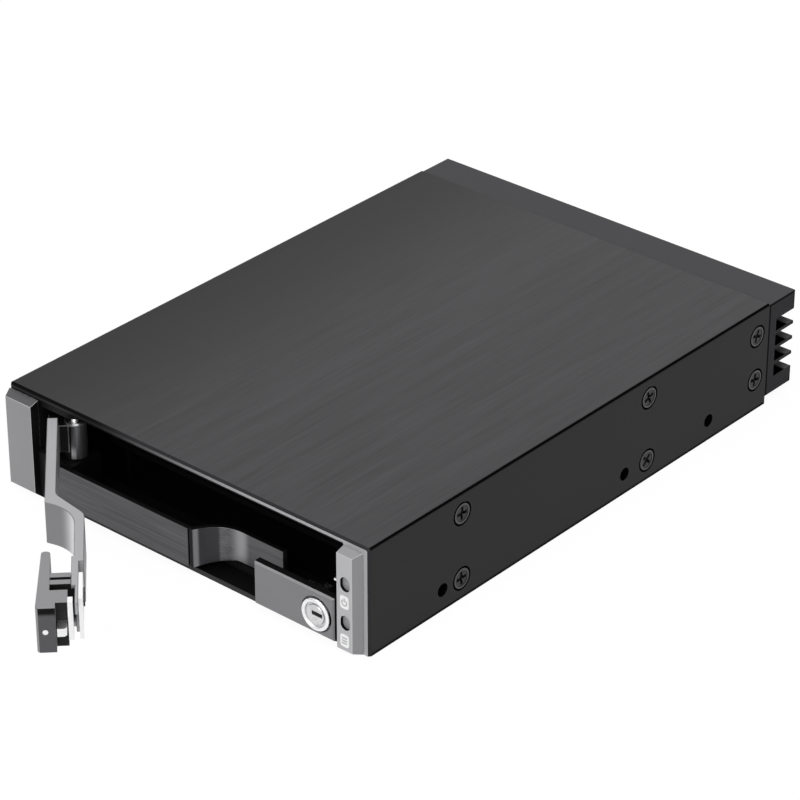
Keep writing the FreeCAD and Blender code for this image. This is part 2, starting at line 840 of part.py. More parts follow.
def make_hinge():
    """Steel hinge pin in the frame, and the washer that the barrel carries."""
    pin = make_body("hinge_pin", x=hinge_x, y=front + size.hinge_back)
    edge = size.hinge_pin_radius / 4
    revolve(pin, "XZ_Plane", [
        (0, size.hinge_pin_foot),
        (size.hinge_pin_radius, size.hinge_pin_foot),
        (size.hinge_pin_radius, ceiling - edge),
        (size.hinge_pin_radius - edge, ceiling),
        (0, ceiling),
    ])
    washer = make_lever_body("hinge_washer")
    extrude(washer, "XY_Plane", barrel_top, barrel_top + size.washer_height,
            [(0, 0, size.washer_radius)],
            [(0, 0, size.hinge_pin_radius + size.running_gap)])
    return [pin, washer]


def make_latch():
    """Sliding handle with its bolt, pin, face plate, back plate and two screws."""
    handle = make_lever_body("latch_handle")
    low = size.panel_top + size.handle_lift
    high = lever_top + size.handle_proud
    extrude(handle, "XY_Plane", low, high, [
        (handle_start, handle_back - size.handle_thin, size.handle_round),
        (handle_end, handle_back - size.handle_thick, size.handle_round),
        (handle_end, handle_back),
        (handle_start, handle_back, size.handle_round),
    ])
    block_start = handle_start + size.handle_block_start
    block_end = handle_end - size.handle_block_short
    block_low = low + size.handle_block_foot
    extrude(handle, "XY_Plane", low, high, box_loop(
        block_start, handle_end, handle_back, handle_back + size.handle_end_pad))
    extrude(handle, "XY_Plane", block_low, high, box_loop(block_start, block_end, handle_back, block_back))
    extrude(handle, "XY_Plane", bar_low, lever_top, *[
        box_loop(x, x + size.bar_width, handle_back, end_face - size.running_gap) for x in bar_places])
    extrude(handle, "XY_Plane", bar_low, tenon_top, *[
        box_loop(x, x + size.bar_width, handle_back, end_back) for x in bar_places])
    bolt_start = handle_end + size.bolt_proud - size.bolt_length
    bolt_face = bolt_back - size.bolt_wall
    extrude(handle, "YZ_Plane", bolt_start, handle_end, box_loop(
        bolt_face, bolt_back, bolt_low, bolt_low + size.bolt_height), cut=True)
    pin_y = handle_back - size.handle_thin / 2
    pin_z = bolt_low + size.bolt_height / 4
    pin_start = handle_end - size.latch_pin_length
    extrude(handle, "YZ_Plane", pin_start, handle_end, [(pin_y, pin_z, size.latch_pin_radius)], cut=True)
    screw_z = (bar_low + tenon_top) / 2
    screw_tip = handle_back + size.bar_width / 2
    screw_xs = [x + size.bar_width / 2 for x in bar_places]
    extrude(handle, "XZ_Plane", screw_tip, end_back, *[
        [(x, screw_z, size.small_screw_shank)] for x in screw_xs], cut=True)
    bolt = make_lever_body("latch_bolt")
    bar = extrude(bolt, "YZ_Plane", bolt_start, handle_end + size.bolt_proud, box_loop(
        bolt_face, bolt_back, bolt_low, bolt_low + size.bolt_height))
    tip = handle_end + size.bolt_proud
    bevel(bolt, bar, size.bolt_bevel, lambda edge: lies_at(edge, "X", tip) and lies_at(edge, "Y", bolt_back))
    pin = make_lever_body("latch_pin")
    extrude(pin, "YZ_Plane", pin_start, handle_end, [(pin_y, pin_z, size.latch_pin_radius)])
    face_plate = make_lever_body("latch_face_plate")
    extrude(face_plate, "XZ_Plane", block_back, block_back + size.face_plate_wall, box_loop(
        block_end - size.face_plate_length, block_end, block_low + size.face_plate_foot, lever_top))
    plate = make_lever_body("latch_plate")
    plate_start = bar_places[0] - size.latch_plate_margin
    plate_low = size.lock_height + size.cam_reach + size.latch_tab_room
    tooth_low = lever_bottom + size.latch_tab_gap
    plate_high = lever_top - size.latch_plate_margin
    extrude(plate, "XZ_Plane", end_back, plate_back, [
        (plate_start, plate_low),
        (tab_end - size.latch_tab_wall, plate_low),
        (tab_end - size.latch_tab_wall, tooth_low),
        (tab_end, tooth_low),
        (tab_end, plate_high),
        (plate_start, plate_high),
    ], *[[(x, screw_z, size.small_screw_shank)] for x in screw_xs])
    screw_body = doc.addObject("Part::Feature", "latch_screws")
    screw_body.Label = "latch_screws"
    head_top = plate_back + size.latch_screw_head
    solids = []
    for x in screw_xs:
        foot = FreeCAD.Vector(x.number, screw_tip.number, screw_z.number)
        shank = Part.makeCylinder(size.small_screw_shank.number, (plate_back - screw_tip).number,
                                  foot, FreeCAD.Vector(0, 1, 0))
        seat = FreeCAD.Vector(x.number, plate_back.number, screw_z.number)
        head = Part.makeCylinder(size.small_screw_head.number, (head_top - plate_back).number,
                                 seat, FreeCAD.Vector(0, 1, 0))
        solids.append(shank.fuse(head).removeSplitter())
    screw_body.Shape = Part.makeCompound(solids)
    place_on_lever(screw_body)
    return [handle, bolt, pin, face_plate, plate, screw_body]


def strike_slot():
    """The loop of the strike's slot, at (y, z), round the engaged bolt."""
    slack = size.strike_slack
    face = size.hinge_back + bolt_back - size.bolt_wall
    return box_loop(face - slack, face + size.bolt_wall + slack,
                    bolt_low - slack, bolt_low + size.bolt_height + slack)


def make_strike():
    """Stainless keeper on the right jamb, with the slot for the bolt."""
    body = make_body("strike_plate", y=front)
    middle = bolt_low + size.bolt_height / 2
    low = middle - size.strike_height / 2
    lip = 2 * size.strike_wall - size.bezel_depth
    extrude(body, "YZ_Plane", panel_right, right_jamb, box_loop(
        lip, lip + size.strike_length, low, low + size.strike_height), strike_slot())
    nose_low = low + 2 * size.strike_nose_height
    extrude(body, "YZ_Plane", panel_right, right_jamb, box_loop(
        lip - size.strike_nose, lip + size.strike_wall, nose_low, nose_low + size.strike_nose_height))
    return body


def make_lights():
    """Two clear light pipes in the right post, and the little board that lights them."""
    made = []
    for label, z in (("light_pipe_upper", light_high), ("light_pipe_lower", size.light_low)):
        pipe = make_body(label, x=light_x, y=front, z=z)
        extrude(pipe, "XZ_Plane", size.light_recess - size.bezel_depth, 0, light_loop(as_size(0), as_size(0)))
        extrude(pipe, "XZ_Plane", 0, size.frame_depth, [(0, 0, size.light_stem)])
        made.append(pipe)
    board = make_body("light_board", y=front)
    margin = 2 * size.light_stem
    extrude(board, "XZ_Plane", size.frame_depth, size.frame_depth + size.light_board_wall, box_loop(
        right_jamb, inner_half - size.running_gap, size.light_low - margin, light_high + margin))
    return made + [board]


deck_left = drive_offset - drive_half - size.rail_width - size.deck_margin
deck_right = drive_offset + drive_half + size.rail_width + size.deck_margin
deck_back = board_front - size.rail_back_gap


def rail_screw_places():
    """Two screws under each rail, at (x, y)."""
    across = drive_half + size.rail_width / 2
    run = deck_back - size.deck_front
    return [(drive_offset + side * across, size.deck_front + run * share)
            for side in (-1, 1) for share in (0.15, 0.85)]


def make_deck():
    """Extruded shelf that the drive slides on, standing on the tray by its two legs."""
    body = make_body("drive_deck", y=front)
    wall = size.deck_wall
    under = size.sill_top - wall
    left_leg = deck_left + size.deck_leg_inset
    right_leg = deck_right - size.deck_leg_inset
    extrude(body, "XZ_Plane", size.deck_front, deck_back, [
        (deck_left, under),
        (left_leg, under),
        (left_leg, floor_top),
        (left_leg + wall, floor_top),
        (left_leg + wall, under),
        (right_leg - wall, under),
        (right_leg - wall, floor_top),
        (right_leg, floor_top),
        (right_leg, under),
        (deck_right, under),
        (deck_right, size.sill_top),
        (deck_left, size.sill_top),
    ])
    extrude(body, "XY_Plane", size.sill_top - wall, size.sill_top, *[
        [(x, y, size.small_screw_shank)] for x, y in rail_screw_places()], cut=True)
    return body


rail_screw_tip = size.sill_top + size.screw_length


def make_rail(label, side):
    """Moulded guide beside the drive, with a tapered lead-in at the front."""
    body = make_body(label, x=drive_offset, y=front)
    inner = side * drive_half
    outer = side * (drive_half + size.rail_width)
    throat = side * (drive_half + size.rail_lead_cut)
    extrude(body, "XY_Plane", size.sill_top, ceiling - size.rail_slack, [
        (outer, size.deck_front),
        (throat, size.deck_front),
        (inner, size.deck_front + size.rail_lead),
        (inner, deck_back),
        (outer, deck_back),
    ])
    places = [(x - drive_offset, y) for x, y in rail_screw_places() if x.number * side > 0]
    extrude(body, "XY_Plane", size.sill_top, rail_screw_tip, *[
        [(x, y, size.small_screw_shank)] for x, y in places], cut=True)
    return body


def make_rail_screws():
    screws = doc.addObject("Part::Feature", "rail_screws")
    screws.Label = "rail_screws"
    under = (size.sill_top - size.deck_wall).number
    head_height = size.small_screw_head_height.number
    up = FreeCAD.Vector(0, 0, 1)
    solids = []
    for x, y in rail_screw_places():
        foot = FreeCAD.Vector(x.number, y.number, under - head_height)
        head = Part.makeCylinder(2 * size.small_screw_shank.number, head_height, foot, up)
        shank = Part.makeCylinder(
            size.small_screw_shank.number, rail_screw_tip.number - foot.z, foot, up)
        solids.append(head.fuse(shank).removeSplitter())
    screws.Shape = Part.makeCompound(solids)
    screws.Placement.Base = FreeCAD.Vector(0, front.number, 0)
    return screws


port_middle = (floor_top + ceiling) / 2
data_middle = drive_offset + (size.power_port_length + size.port_gap) / 2
power_middle = drive_offset - (size.data_port_length + size.port_gap) / 2


def boss_places():
    across = inner_half - size.boss_inset
    return [(side * across, z) for side in (-1, 1) for z in (
        floor_top + size.boss_inset, ceiling - size.boss_inset)]


def make_backplane():
    """Backplane board with the drive's receptacle in front and two ports behind."""
    board = make_body("backplane_board", y=front)
    side = inner_half - size.board_margin
    extrude(board, "XZ_Plane", board_front, board_back, box_loop(
        -side, side, floor_top + size.board_margin / 2, ceiling - size.board_margin / 2), *[
            [(x, z, size.small_screw_shank)] for x, z in boss_places()])
    socket = make_body("drive_connector", x=drive_offset + size.connector_offset, y=front)
    low = size.sill_top + size.connector_rise
    high = low + size.connector_height
    mouth = board_front - size.connector_depth
    long = size.connector_length / 2
    extrude(socket, "XZ_Plane", mouth, board_front, box_loop(-long, long, low, high))
    blade = size.blade_length / 2
    slot_low = (low + high) / 2 - size.blade_gap / 2
    key = size.blade_gap
    extrude(socket, "XZ_Plane", mouth, mouth + size.blade_depth, [
        (-blade, slot_low),
        (blade, slot_low),
        (blade, slot_low + 2 * key),
        (blade - key, slot_low + 2 * key),
        (blade - key, slot_low + key),
        (-blade, slot_low + key),
    ], cut=True)
    ports = []
    for label, middle, length in (
            ("data_port", data_middle, size.data_port_length),
            ("power_port", power_middle, size.power_port_length)):
        port = make_body(label, x=middle, y=front, z=port_middle)
        tall = size.port_height / 2
        extrude(port, "XZ_Plane", board_back, board_back + size.port_depth, box_loop(
            -length / 2, length / 2, -tall, tall))
        inside = length / 2 - size.port_wall
        floor = board_back + size.port_wall
        tongue = size.port_tongue / 2
        extrude(port, "XZ_Plane", floor, board_back + size.port_depth, box_loop(
            -inside, inside, tongue, tall - size.port_wall), cut=True)
        extrude(port, "XZ_Plane", floor, board_back + size.port_depth, box_loop(
            -inside, inside, size.port_wall - tall, -tongue), cut=True)
        ports.append(port)
    return [board, socket] + ports


rear_end = size.body_depth + size.rear_depth


def make_rear_housing():
    """Moulded rear block: a plug inside the cover, and louvres open to the rear."""
    body = make_body("rear_housing", y=front)
    plug_half = inner_half - size.plug_slack
    extrude(body, "XZ_Plane", plug_front, size.body_depth, box_loop(-plug_half, plug_half, floor_top, ceiling))
    side = half - size.rear_inset
    top = size.height - size.rear_top_inset
    extrude(body, "XZ_Plane", size.body_depth, rear_end, box_loop(-side, side, size.rear_foot, top))
    extrude(body, "XZ_Plane", board_back, plug_front, *[
        [(x, z, size.boss_radius)] for x, z in boss_places()])
    window = size.window_length / 2
    tall = size.window_height / 2
    extrude(body, "XZ_Plane", plug_front, rear_end, box_loop(
        drive_offset - window, drive_offset + window, port_middle - tall, port_middle + tall), cut=True)
    slot_top = top - size.louvre_drop
    slot = extrude(body, "YZ_Plane", -half, half, box_loop(
        rear_end - size.louvre_depth, rear_end, slot_top - size.louvre_gap, slot_top), cut=True)
    doc.recompute()
    louvres = body.newObject("PartDesign::LinearPattern", "Louvres")
    louvres.Originals = [slot]
    louvres.Direction = (slot.Profile[0], ["V_Axis"])
    louvres.Reversed = True
    pitch = size.louvre_gap + size.louvre_fin
    louvres.setExpression("Length", (pitch * (size.louvre_count - 1)).text)
    louvres.setExpression("Occurrences", size.louvre_count.text)
    body.Tip = louvres
    doc.recompute()
    shank = size.screw_shank / 2
    depth = 2 * size.screw_shank
    rear_screws = [[(y, z, shank)] for y, z in screw_places[-2:]]
    extrude(body, "YZ_Plane", plug_half - depth, plug_half, *rear_screws, cut=True)
    extrude(body, "YZ_Plane", -plug_half, depth - plug_half, *rear_screws, cut=True)
    extrude(body, "XZ_Plane", board_back, plug_front, *[
        [(x, z, size.small_screw_shank)] for x, z in boss_places()], cut=True)
    extrude(body, "XY_Plane", floor_top, floor_screw_tip, *[
        [(x, y, shank)] for x, y in floor_screw_places()[1::2]], cut=True)
    return body


def make_board_screws():
    screws = doc.addObject("Part::Feature", "board_screws")
    screws.Label = "board_screws"
    head_height = size.small_screw_head_height.number
    along = FreeCAD.Vector(0, 1, 0)
    solids = []
    for x, z in boss_places():
        foot = FreeCAD.Vector(x.number, board_front.number - head_height, z.number)
        head = Part.makeCylinder(2 * size.small_screw_shank.number, head_height, foot, along)
        shank = Part.makeCylinder(
            size.small_screw_shank.number, plug_front.number - foot.y, foot, along)
        solids.append(head.fuse(shank).removeSplitter())
    screws.Shape = Part.makeCompound(solids)
    screws.Placement.Base = FreeCAD.Vector(0, front.number, 0)
    return screws


def countersunk_screw(seat, inward, head_width, length):
    """One flat-head screw whose head is flush with the sheet at its seat."""
    head = head_width.number / 2
    shank = size.screw_shank.number / 2
    cone = Part.makeCone(head, shank, head - shank, seat, inward)
    stem = Part.makeCylinder(shank, length.number, seat, inward)
    return cone.fuse(stem).removeSplitter()


def make_cover_screws(label, side):
    screws = doc.addObject("Part::Feature", label)
    screws.Label = label
    solids = []
    for y, z in screw_places:
        seat = FreeCAD.Vector(side * half.number, y.number, z.number)
        inward = FreeCAD.Vector(-side, 0, 0)
        solids.append(countersunk_screw(seat, inward, size.screw_head, size.screw_length))
    screws.Shape = Part.makeCompound(solids)
    screws.Placement.Base = FreeCAD.Vector(0, front.number, 0)
    return screws


def make_floor_screws():
    screws = doc.addObject("Part::Feature", "floor_screws")
    screws.Label = "floor_screws"
    solids = []
    for x, y in floor_screw_places():
        seat = FreeCAD.Vector(x.number, y.number, 0)
        inward = FreeCAD.Vector(0, 0, 1)
        solids.append(countersunk_screw(seat, inward, size.floor_screw_head, floor_screw_tip))
    screws.Shape = Part.makeCompound(solids)
    screws.Placement.Base = FreeCAD.Vector(0, front.number, 0)
    return screws


pieces = [
    make_cover(),
    make_tray(),
    make_front_frame(),
    make_post("left_post", -1, -half, left_in, size.left_post_foot),
    make_right_post(),
    make_front_sill(),
    make_lock_panel(),
    *make_lock(),
    make_door_lever(),
    *make_hinge(),
]
doc.recompute()
pieces += [
    *make_latch(),
    make_strike(),
    *make_lights(),
    make_deck(),
    make_rail("guide_rail_left", -1),
    make_rail("guide_rail_right", 1),
    make_rail_screws(),
    *make_backplane(),
    make_rear_housing(),
    make_board_screws(),
    make_cover_screws("cover_screws_left", -1),
    make_cover_screws("cover_screws_right", 1),
    make_floor_screws(),
]
doc.recompute()

for item in doc.Objects:
    if "Invalid" in item.State or "Error" in item.State:
        raise RuntimeError(f"{item.Name} failed: {item.State}")
for piece in pieces:
    if piece.Shape.isNull() or not piece.Shape.isValid():
        raise RuntimeError(f"{piece.Label} has no valid shape")

os.makedirs("parts", exist_ok=True)
for piece in pieces:
    piece.Shape.exportStep(f"parts/{piece.Label}.step")
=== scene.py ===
import json
import math

import bmesh
import bpy
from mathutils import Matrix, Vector


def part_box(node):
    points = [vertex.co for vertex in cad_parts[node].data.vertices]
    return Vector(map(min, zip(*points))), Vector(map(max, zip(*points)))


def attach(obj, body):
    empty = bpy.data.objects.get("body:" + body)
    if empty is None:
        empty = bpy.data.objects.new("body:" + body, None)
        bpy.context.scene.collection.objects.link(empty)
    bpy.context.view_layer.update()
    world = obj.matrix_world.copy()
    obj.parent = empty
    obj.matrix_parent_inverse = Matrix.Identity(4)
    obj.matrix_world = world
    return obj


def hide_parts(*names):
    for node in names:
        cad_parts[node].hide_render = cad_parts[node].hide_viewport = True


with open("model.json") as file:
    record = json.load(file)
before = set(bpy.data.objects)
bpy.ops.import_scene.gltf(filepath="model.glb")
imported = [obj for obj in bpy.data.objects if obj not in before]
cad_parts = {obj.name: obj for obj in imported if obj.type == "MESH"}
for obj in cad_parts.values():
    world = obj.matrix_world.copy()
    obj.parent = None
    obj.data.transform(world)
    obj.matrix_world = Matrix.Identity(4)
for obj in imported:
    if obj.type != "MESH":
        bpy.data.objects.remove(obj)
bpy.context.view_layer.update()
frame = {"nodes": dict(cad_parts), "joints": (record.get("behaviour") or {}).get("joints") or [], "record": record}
nodes = frame["nodes"]
body_of = {node: body for body, names in frame["record"]["behaviour"]["bodies"].items()
           for node in names}
MM = 0.001

# Tray and drive shelf: pressed steel and an extruded shelf, both powder coated in matte black.
# The tray closes the underside, and its front edge shows as a thin line under the sill.
# The shelf stands on the tray by two legs.


def linear(text):
    """An sRGB hex colour as linear RGBA."""
    parts = [int(text[start:start + 2], 16) / 255 for start in (1, 3, 5)]
    return [p / 12.92 if p <= 0.04045 else ((p + 0.055) / 1.055) ** 2.4 for p in parts] + [1.0]


def add(tree, kind, values=None, **settings):
    """Add a node: settings are its properties, values its sockets, and an output is linked."""
    node = tree.nodes.new(kind)
    for name, value in settings.items():
        setattr(node, name, value)
    for key, value in (values or {}).items():
        if isinstance(value, bpy.types.NodeSocket):
            tree.links.new(value, node.inputs[key])
        else:
            node.inputs[key].default_value = value
    return node


def blank_material(name, **shader_values):
    """A material with its shader's constant values set, and the object's own coordinates."""
    material = bpy.data.materials.new(name)
    material.use_nodes = True
    tree = material.node_tree
    shader = tree.nodes["Principled BSDF"]
    for socket, value in shader_values.items():
        shader.inputs[socket.replace("_", " ")].default_value = value
    place = add(tree, "ShaderNodeTexCoord").outputs["Object"]
    return material, tree, shader, place


def grained_finish(name, dark, light, grain_mm, rough_low, rough_high, relief_mm, **shader_values):
    """A coated, plated or moulded surface: grain in colour, gloss and relief, under broad clouds.

    The real grain is finer, and is drawn as coarse as it needs to show in the render.
    """
    cloud_mm, cloud_share = 24, 0.5
    material, tree, shader, place = blank_material(name, **shader_values)
    fine = add(tree, "ShaderNodeTexNoise", {
        "Vector": place, "Scale": 1 / (grain_mm * MM), "Detail": 2.0})
    broad = add(tree, "ShaderNodeTexNoise", {
        "Vector": place, "Scale": 1 / (cloud_mm * MM), "Detail": 1.0})
    mixed = add(tree, "ShaderNodeMix", {
        "Factor": cloud_share, 2: fine.outputs["Fac"], 3: broad.outputs["Fac"]})
    colour = add(tree, "ShaderNodeMix", {
        "Factor": mixed.outputs[0], 6: linear(dark), 7: linear(light)}, data_type="RGBA")
    gloss = add(tree, "ShaderNodeMapRange", {
        "Value": fine.outputs["Fac"], "To Min": rough_low, "To Max": rough_high})
    relief = add(tree, "ShaderNodeBump", {
        "Height": fine.outputs["Fac"], "Distance": relief_mm * MM, "Strength": 0.5})
    tree.links.new(colour.outputs[2], shader.inputs["Base Color"])
    tree.links.new(gloss.outputs["Result"], shader.inputs["Roughness"])
    tree.links.new(relief.outputs["Normal"], shader.inputs["Normal"])
    return material


def paint(material, *names):
    """Give carried-over nodes their finish."""
    for name in names:
        nodes[name].data.materials.clear()
        nodes[name].data.materials.append(material)


def eased(node, name, width_mm, finish, others=(), edge=None):
    """The node's shape as one clean mesh with small rounded edges, which stands for that node.

    Each of others is a finish and a test of a face's middle and outward direction.
    Edge is the finish of the roundings, where they have one of their own.
    """
    weld, flat_angle, edge_angle = 0.001 * MM, math.radians(0.5), math.radians(32)
    mesh = nodes[node].data.copy()
    mesh.name = name
    mesh.materials.clear()
    shape = bmesh.new()
    shape.from_mesh(mesh)
    bmesh.ops.remove_doubles(shape, verts=shape.verts, dist=weld)
    bmesh.ops.dissolve_limit(shape, angle_limit=flat_angle, verts=shape.verts, edges=shape.edges)
    for face in shape.faces:
        at, way = face.calc_center_median(), face.normal
        picked = [number for number, (_, test) in enumerate(others, 1) if test(at, way)]
        face.material_index = picked[0] if picked else 0
    shape.to_mesh(mesh)
    shape.free()
    for each in [finish] + [other for other, _ in others] + ([edge] if edge else []):
        mesh.materials.append(each)
    mesh.shade_smooth()
    mesh.set_sharp_from_angle(angle=edge_angle)
    piece = bpy.data.objects.new(name, mesh)
    bpy.context.scene.collection.objects.link(piece)
    rounding = piece.modifiers.new("eased edges", "BEVEL")
    rounding.width = width_mm * MM
    rounding.segments = 2
    rounding.limit_method = "ANGLE"
    rounding.angle_limit = edge_angle
    if edge:
        rounding.material = len(others) + 1
    flat = piece.modifiers.new("flat faces", "WEIGHTED_NORMAL")
    flat.weight = 100
    flat.keep_sharp = True
    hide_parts(node)
    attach(piece, body_of[node])
    return piece


# Powder coat on steel: a very dark, even black with a faint orange peel.
powder_coat = grained_finish("black powder coat", "#050506", "#0c0c0d", 0.5, 0.55, 0.66, 0.03,
                             Specular_IOR_Level=0.08)
# The sheared edge of the coated sheet: thin coat over bright steel, so a dull dark grey.
coated_edge = grained_finish("thinly coated steel edge", "#18181a", "#28282a",
                             0.5, 0.45, 0.6, 0.02, Metallic=0.3)
# Hole walls are painted a dull black: painted shade, where little light reaches in.
hole_painted_shade = grained_finish("dull black hole wall", "#050505", "#090909", 0.4, 0.6, 0.7, 0.01,
                            Specular_IOR_Level=0.0)
tray_low, tray_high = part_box("tray")
tray_edge, tray_wall = 0.3 * MM, 3 * MM


def on_tray_edge(at, way):
    """Whether a face is the tray's sheared front edge."""
    return way.y < -0.9 and at.y < tray_low.y + tray_edge


def in_tray_hole(at, way):
    """Whether a face is the wall of a hole through one of the tray's sides."""
    return (abs(at.x) > tray_high.x - tray_wall and abs(way.x) < 0.85
            and at.z > tray_low.z + MM)


eased("tray", "folded_tray", 0.1, powder_coat,
      [(coated_edge, on_tray_edge), (hole_painted_shade, in_tray_hole)])
paint(powder_coat, "drive_deck")

# Drive guides: black ABS mouldings with a fine spark-eroded face.
# They are screwed to the shelf from below and lead the drive in.

# Moulded ABS, near black and dull: its own black, darkened further as painted shade,
# so that the inside of the slot stays dark.
moulded_abs_and_shade = grained_finish("black moulded ABS", "#060607", "#0d0d0e", 0.3, 0.5, 0.62, 0.02,
                             IOR=1.53, Specular_IOR_Level=0.2)
paint(moulded_abs_and_shade, "guide_rail_left", "guide_rail_right")

# Backplane: a glass-fibre board with green solder mask, screwed to the rear block's bosses.
# Its receptacle takes the drive in front, and two ports behind take the plugs.
# Gilt spring contacts stand in the receptacle and on the ports' tongues.


def board_finish():
    """Solder mask over copper: dark green with paler straight tracks about a millimetre apart."""
    material, tree, shader, place = blank_material("green solder mask", Roughness=0.32, IOR=1.5)
    track_unit = 10 * MM
    tracks = add(tree, "ShaderNodeTexBrick", {
        "Vector": place, "Scale": 1 / track_unit, "Color1": linear("#0d3420"),
        "Color2": linear("#0f3a25"), "Mortar": linear("#1d5a3a"), "Mortar Size": 0.02,
        "Brick Width": 0.9, "Row Height": 0.12})
    tree.links.new(tracks.outputs["Color"], shader.inputs["Base Color"])
    return material


def contact_tree(finish):
    """Bowed spring contacts, one on each point of the input mesh."""
    tree = bpy.data.node_groups.new("spring contacts", "GeometryNodeTree")
    face = tree.interface
    face.new_socket("Places", in_out="INPUT", socket_type="NodeSocketGeometry")
    for name in ("Width", "Length", "Thickness", "Bow"):
        face.new_socket(name, in_out="INPUT", socket_type="NodeSocketFloat")
    face.new_socket("Contacts", in_out="OUTPUT", socket_type="NodeSocketGeometry")
    given = add(tree, "NodeGroupInput").outputs
    extent = add(tree, "ShaderNodeCombineXYZ", {
        "X": given["Width"], "Y": given["Length"], "Z": given["Thickness"]})
    strip = add(tree, "GeometryNodeMeshCube", {"Size": extent.outputs[0], "Vertices Y": 7})
    position = add(tree, "GeometryNodeInputPosition")
    along = add(tree, "ShaderNodeSeparateXYZ", {0: position.outputs[0]})
    reach = add(tree, "ShaderNodeMath", {0: along.outputs["Y"], 1: given["Length"]},
                operation="DIVIDE")
    turn = add(tree, "ShaderNodeMath", {0: reach.outputs[0], 1: math.pi}, operation="MULTIPLY")
    arch = add(tree, "ShaderNodeMath", {0: turn.outputs[0]}, operation="COSINE")
    lift = add(tree, "ShaderNodeMath", {0: arch.outputs[0], 1: given["Bow"]}, operation="MULTIPLY")
    rise = add(tree, "ShaderNodeCombineXYZ", {"Z": lift.outputs[0]})
    bowed = add(tree, "GeometryNodeSetPosition", {
        "Geometry": strip.outputs["Mesh"], "Offset": rise.outputs[0]})
    placed = add(tree, "GeometryNodeInstanceOnPoints", {
        "Points": given["Places"], "Instance": bowed.outputs[0]})
    solid = add(tree, "GeometryNodeRealizeInstances", {"Geometry": placed.outputs[0]})
    finished = add(tree, "GeometryNodeSetMaterial", {
        "Geometry": solid.outputs[0], "Material": finish})
    add(tree, "NodeGroupOutput", {"Contacts": finished.outputs[0]})
    return tree


def grown(name, tree, seats, inputs):
    """A plain mesh piece grown by a tree from a list of points."""
    start = bpy.data.meshes.new(name)
    start.from_pydata(seats, [], [])
    piece = bpy.data.objects.new(name, start)
    bpy.context.scene.collection.objects.link(piece)
    growth = piece.modifiers.new("growth", "NODES")
    growth.node_group = tree
    sockets = {item.name: item.identifier for item in tree.interface.items_tree
               if item.in_out == "INPUT"}
    for label, value in inputs.items():
        growth[sockets[label]] = value
    evaluated = piece.evaluated_get(bpy.context.evaluated_depsgraph_get())
    mesh = bpy.data.meshes.new_from_object(evaluated)
    piece.modifiers.remove(growth)
    piece.data = mesh
    mesh.name = name
    return piece


paint(board_finish(), "backplane_board", "light_board")
# Glass-filled nylon: near black and dull, with a little glitter of fibre at the skin.
connector_nylon = grained_finish("black glass-filled nylon", "#0c0c0d", "#171718",
                                 0.4, 0.42, 0.55, 0.015, IOR=1.53)
paint(connector_nylon, "drive_connector", "data_port", "power_port")
# Gold flash over nickel: warm and bright, with small dulled spots.
gilt = grained_finish("gold flash on nickel", "#b98b3a", "#d9b060", 0.6, 0.2, 0.34, 0.002,
                      Metallic=1.0)
contact_pitch, first_contact = 1.27, 15.2
data_contacts, power_contacts = list(range(7)), list(range(9, 24))
slot_depth, slot_drop = 2.6 * MM, 0.85 * MM
port_depth, port_rise = 3.8 * MM, 0.6 * MM
slot_low, slot_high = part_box("drive_connector")
slot_middle = (slot_low.x + slot_high.x) / 2
slot_floor = (slot_low.z + slot_high.z) / 2 - slot_drop
contact_seats = [
    (slot_middle + (number * contact_pitch - first_contact) * MM,
     slot_low.y + slot_depth, slot_floor)
    for number in data_contacts + power_contacts]
for port, count in (("data_port", len(data_contacts)), ("power_port", len(power_contacts))):
    port_low, port_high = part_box(port)
    port_middle = (port_low + port_high) / 2
    contact_seats += [
        (port_middle.x + (number - (count - 1) / 2) * contact_pitch * MM,
         port_high.y - port_depth, port_middle.z + port_rise)
        for number in range(count)]
contacts = grown("gilt_contacts", contact_tree(gilt), contact_seats,
                 {"Width": 0.7 * MM, "Length": 4.4 * MM, "Thickness": 0.16 * MM, "Bow": 0.22 * MM})
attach(contacts, "cage")

# Rear block: one black moulding with louvres open to the sides and rear, in the cover's end.
# It is held by the rearmost screws of the cover's sides.

to_right, to_back, upwards = (1, 0, 0), (0, 1, 0), (0, 0, 1)


def banded(material, way, marks_mm, colour, most=1.0, dull=False):
    """Blend a colour into a finish between places along a direction.

    It comes in from the first mark to the second and goes out from the third to the fourth.
    A dull band loses its gloss there too.
    """
    tree = material.node_tree
    shader = tree.nodes["Principled BSDF"].inputs
    base = shader["Base Color"]
    place = add(tree, "ShaderNodeTexCoord").outputs["Object"]
    along = add(tree, "ShaderNodeVectorMath", {0: place, 1: way}, operation="DOT_PRODUCT")
    rise, fall = [add(tree, "ShaderNodeMapRange", {
        "Value": along.outputs["Value"], "From Min": low * MM, "From Max": high * MM,
        "To Min": start, "To Max": end}, interpolation_type="SMOOTHSTEP").outputs[0]
        for low, high, start, end in (marks_mm[:2] + (0.0, most), marks_mm[2:] + (1.0, 0.0))]
    share = add(tree, "ShaderNodeMath", {0: rise, 1: fall}, operation="MULTIPLY")
    mixed = add(tree, "ShaderNodeMix", {
        "Factor": share.outputs[0], 6: base.links[0].from_socket, 7: linear(colour)},
        data_type="RGBA")
    tree.links.new(mixed.outputs[2], base)
    if dull:
        level = shader["Specular IOR Level"]
        kept = add(tree, "ShaderNodeMapRange", {
            "Value": share.outputs[0], "To Min": level.default_value, "To Max": 0.0})
        tree.links.new(kept.outputs[0], level)


# Moulded ABS with a fine grain: dark grey where light falls on it.
# Black bands along the joint with the cover, under the top edge and round the rear edges are painted shade.
rear_abs = grained_finish("black moulded rear block", "#333335", "#3f3f41", 0.35, 0.5, 0.62, 0.02,
                          IOR=1.53, Specular_IOR_Level=0.02)
for way, marks in ((to_back, (66.8, 66.85, 67.6, 67.8)), (upwards, (24.25, 24.45, 30, 31)),
                   (to_back, (76.2, 76.4, 80, 81))):
    banded(rear_abs, way, marks, "#050505")
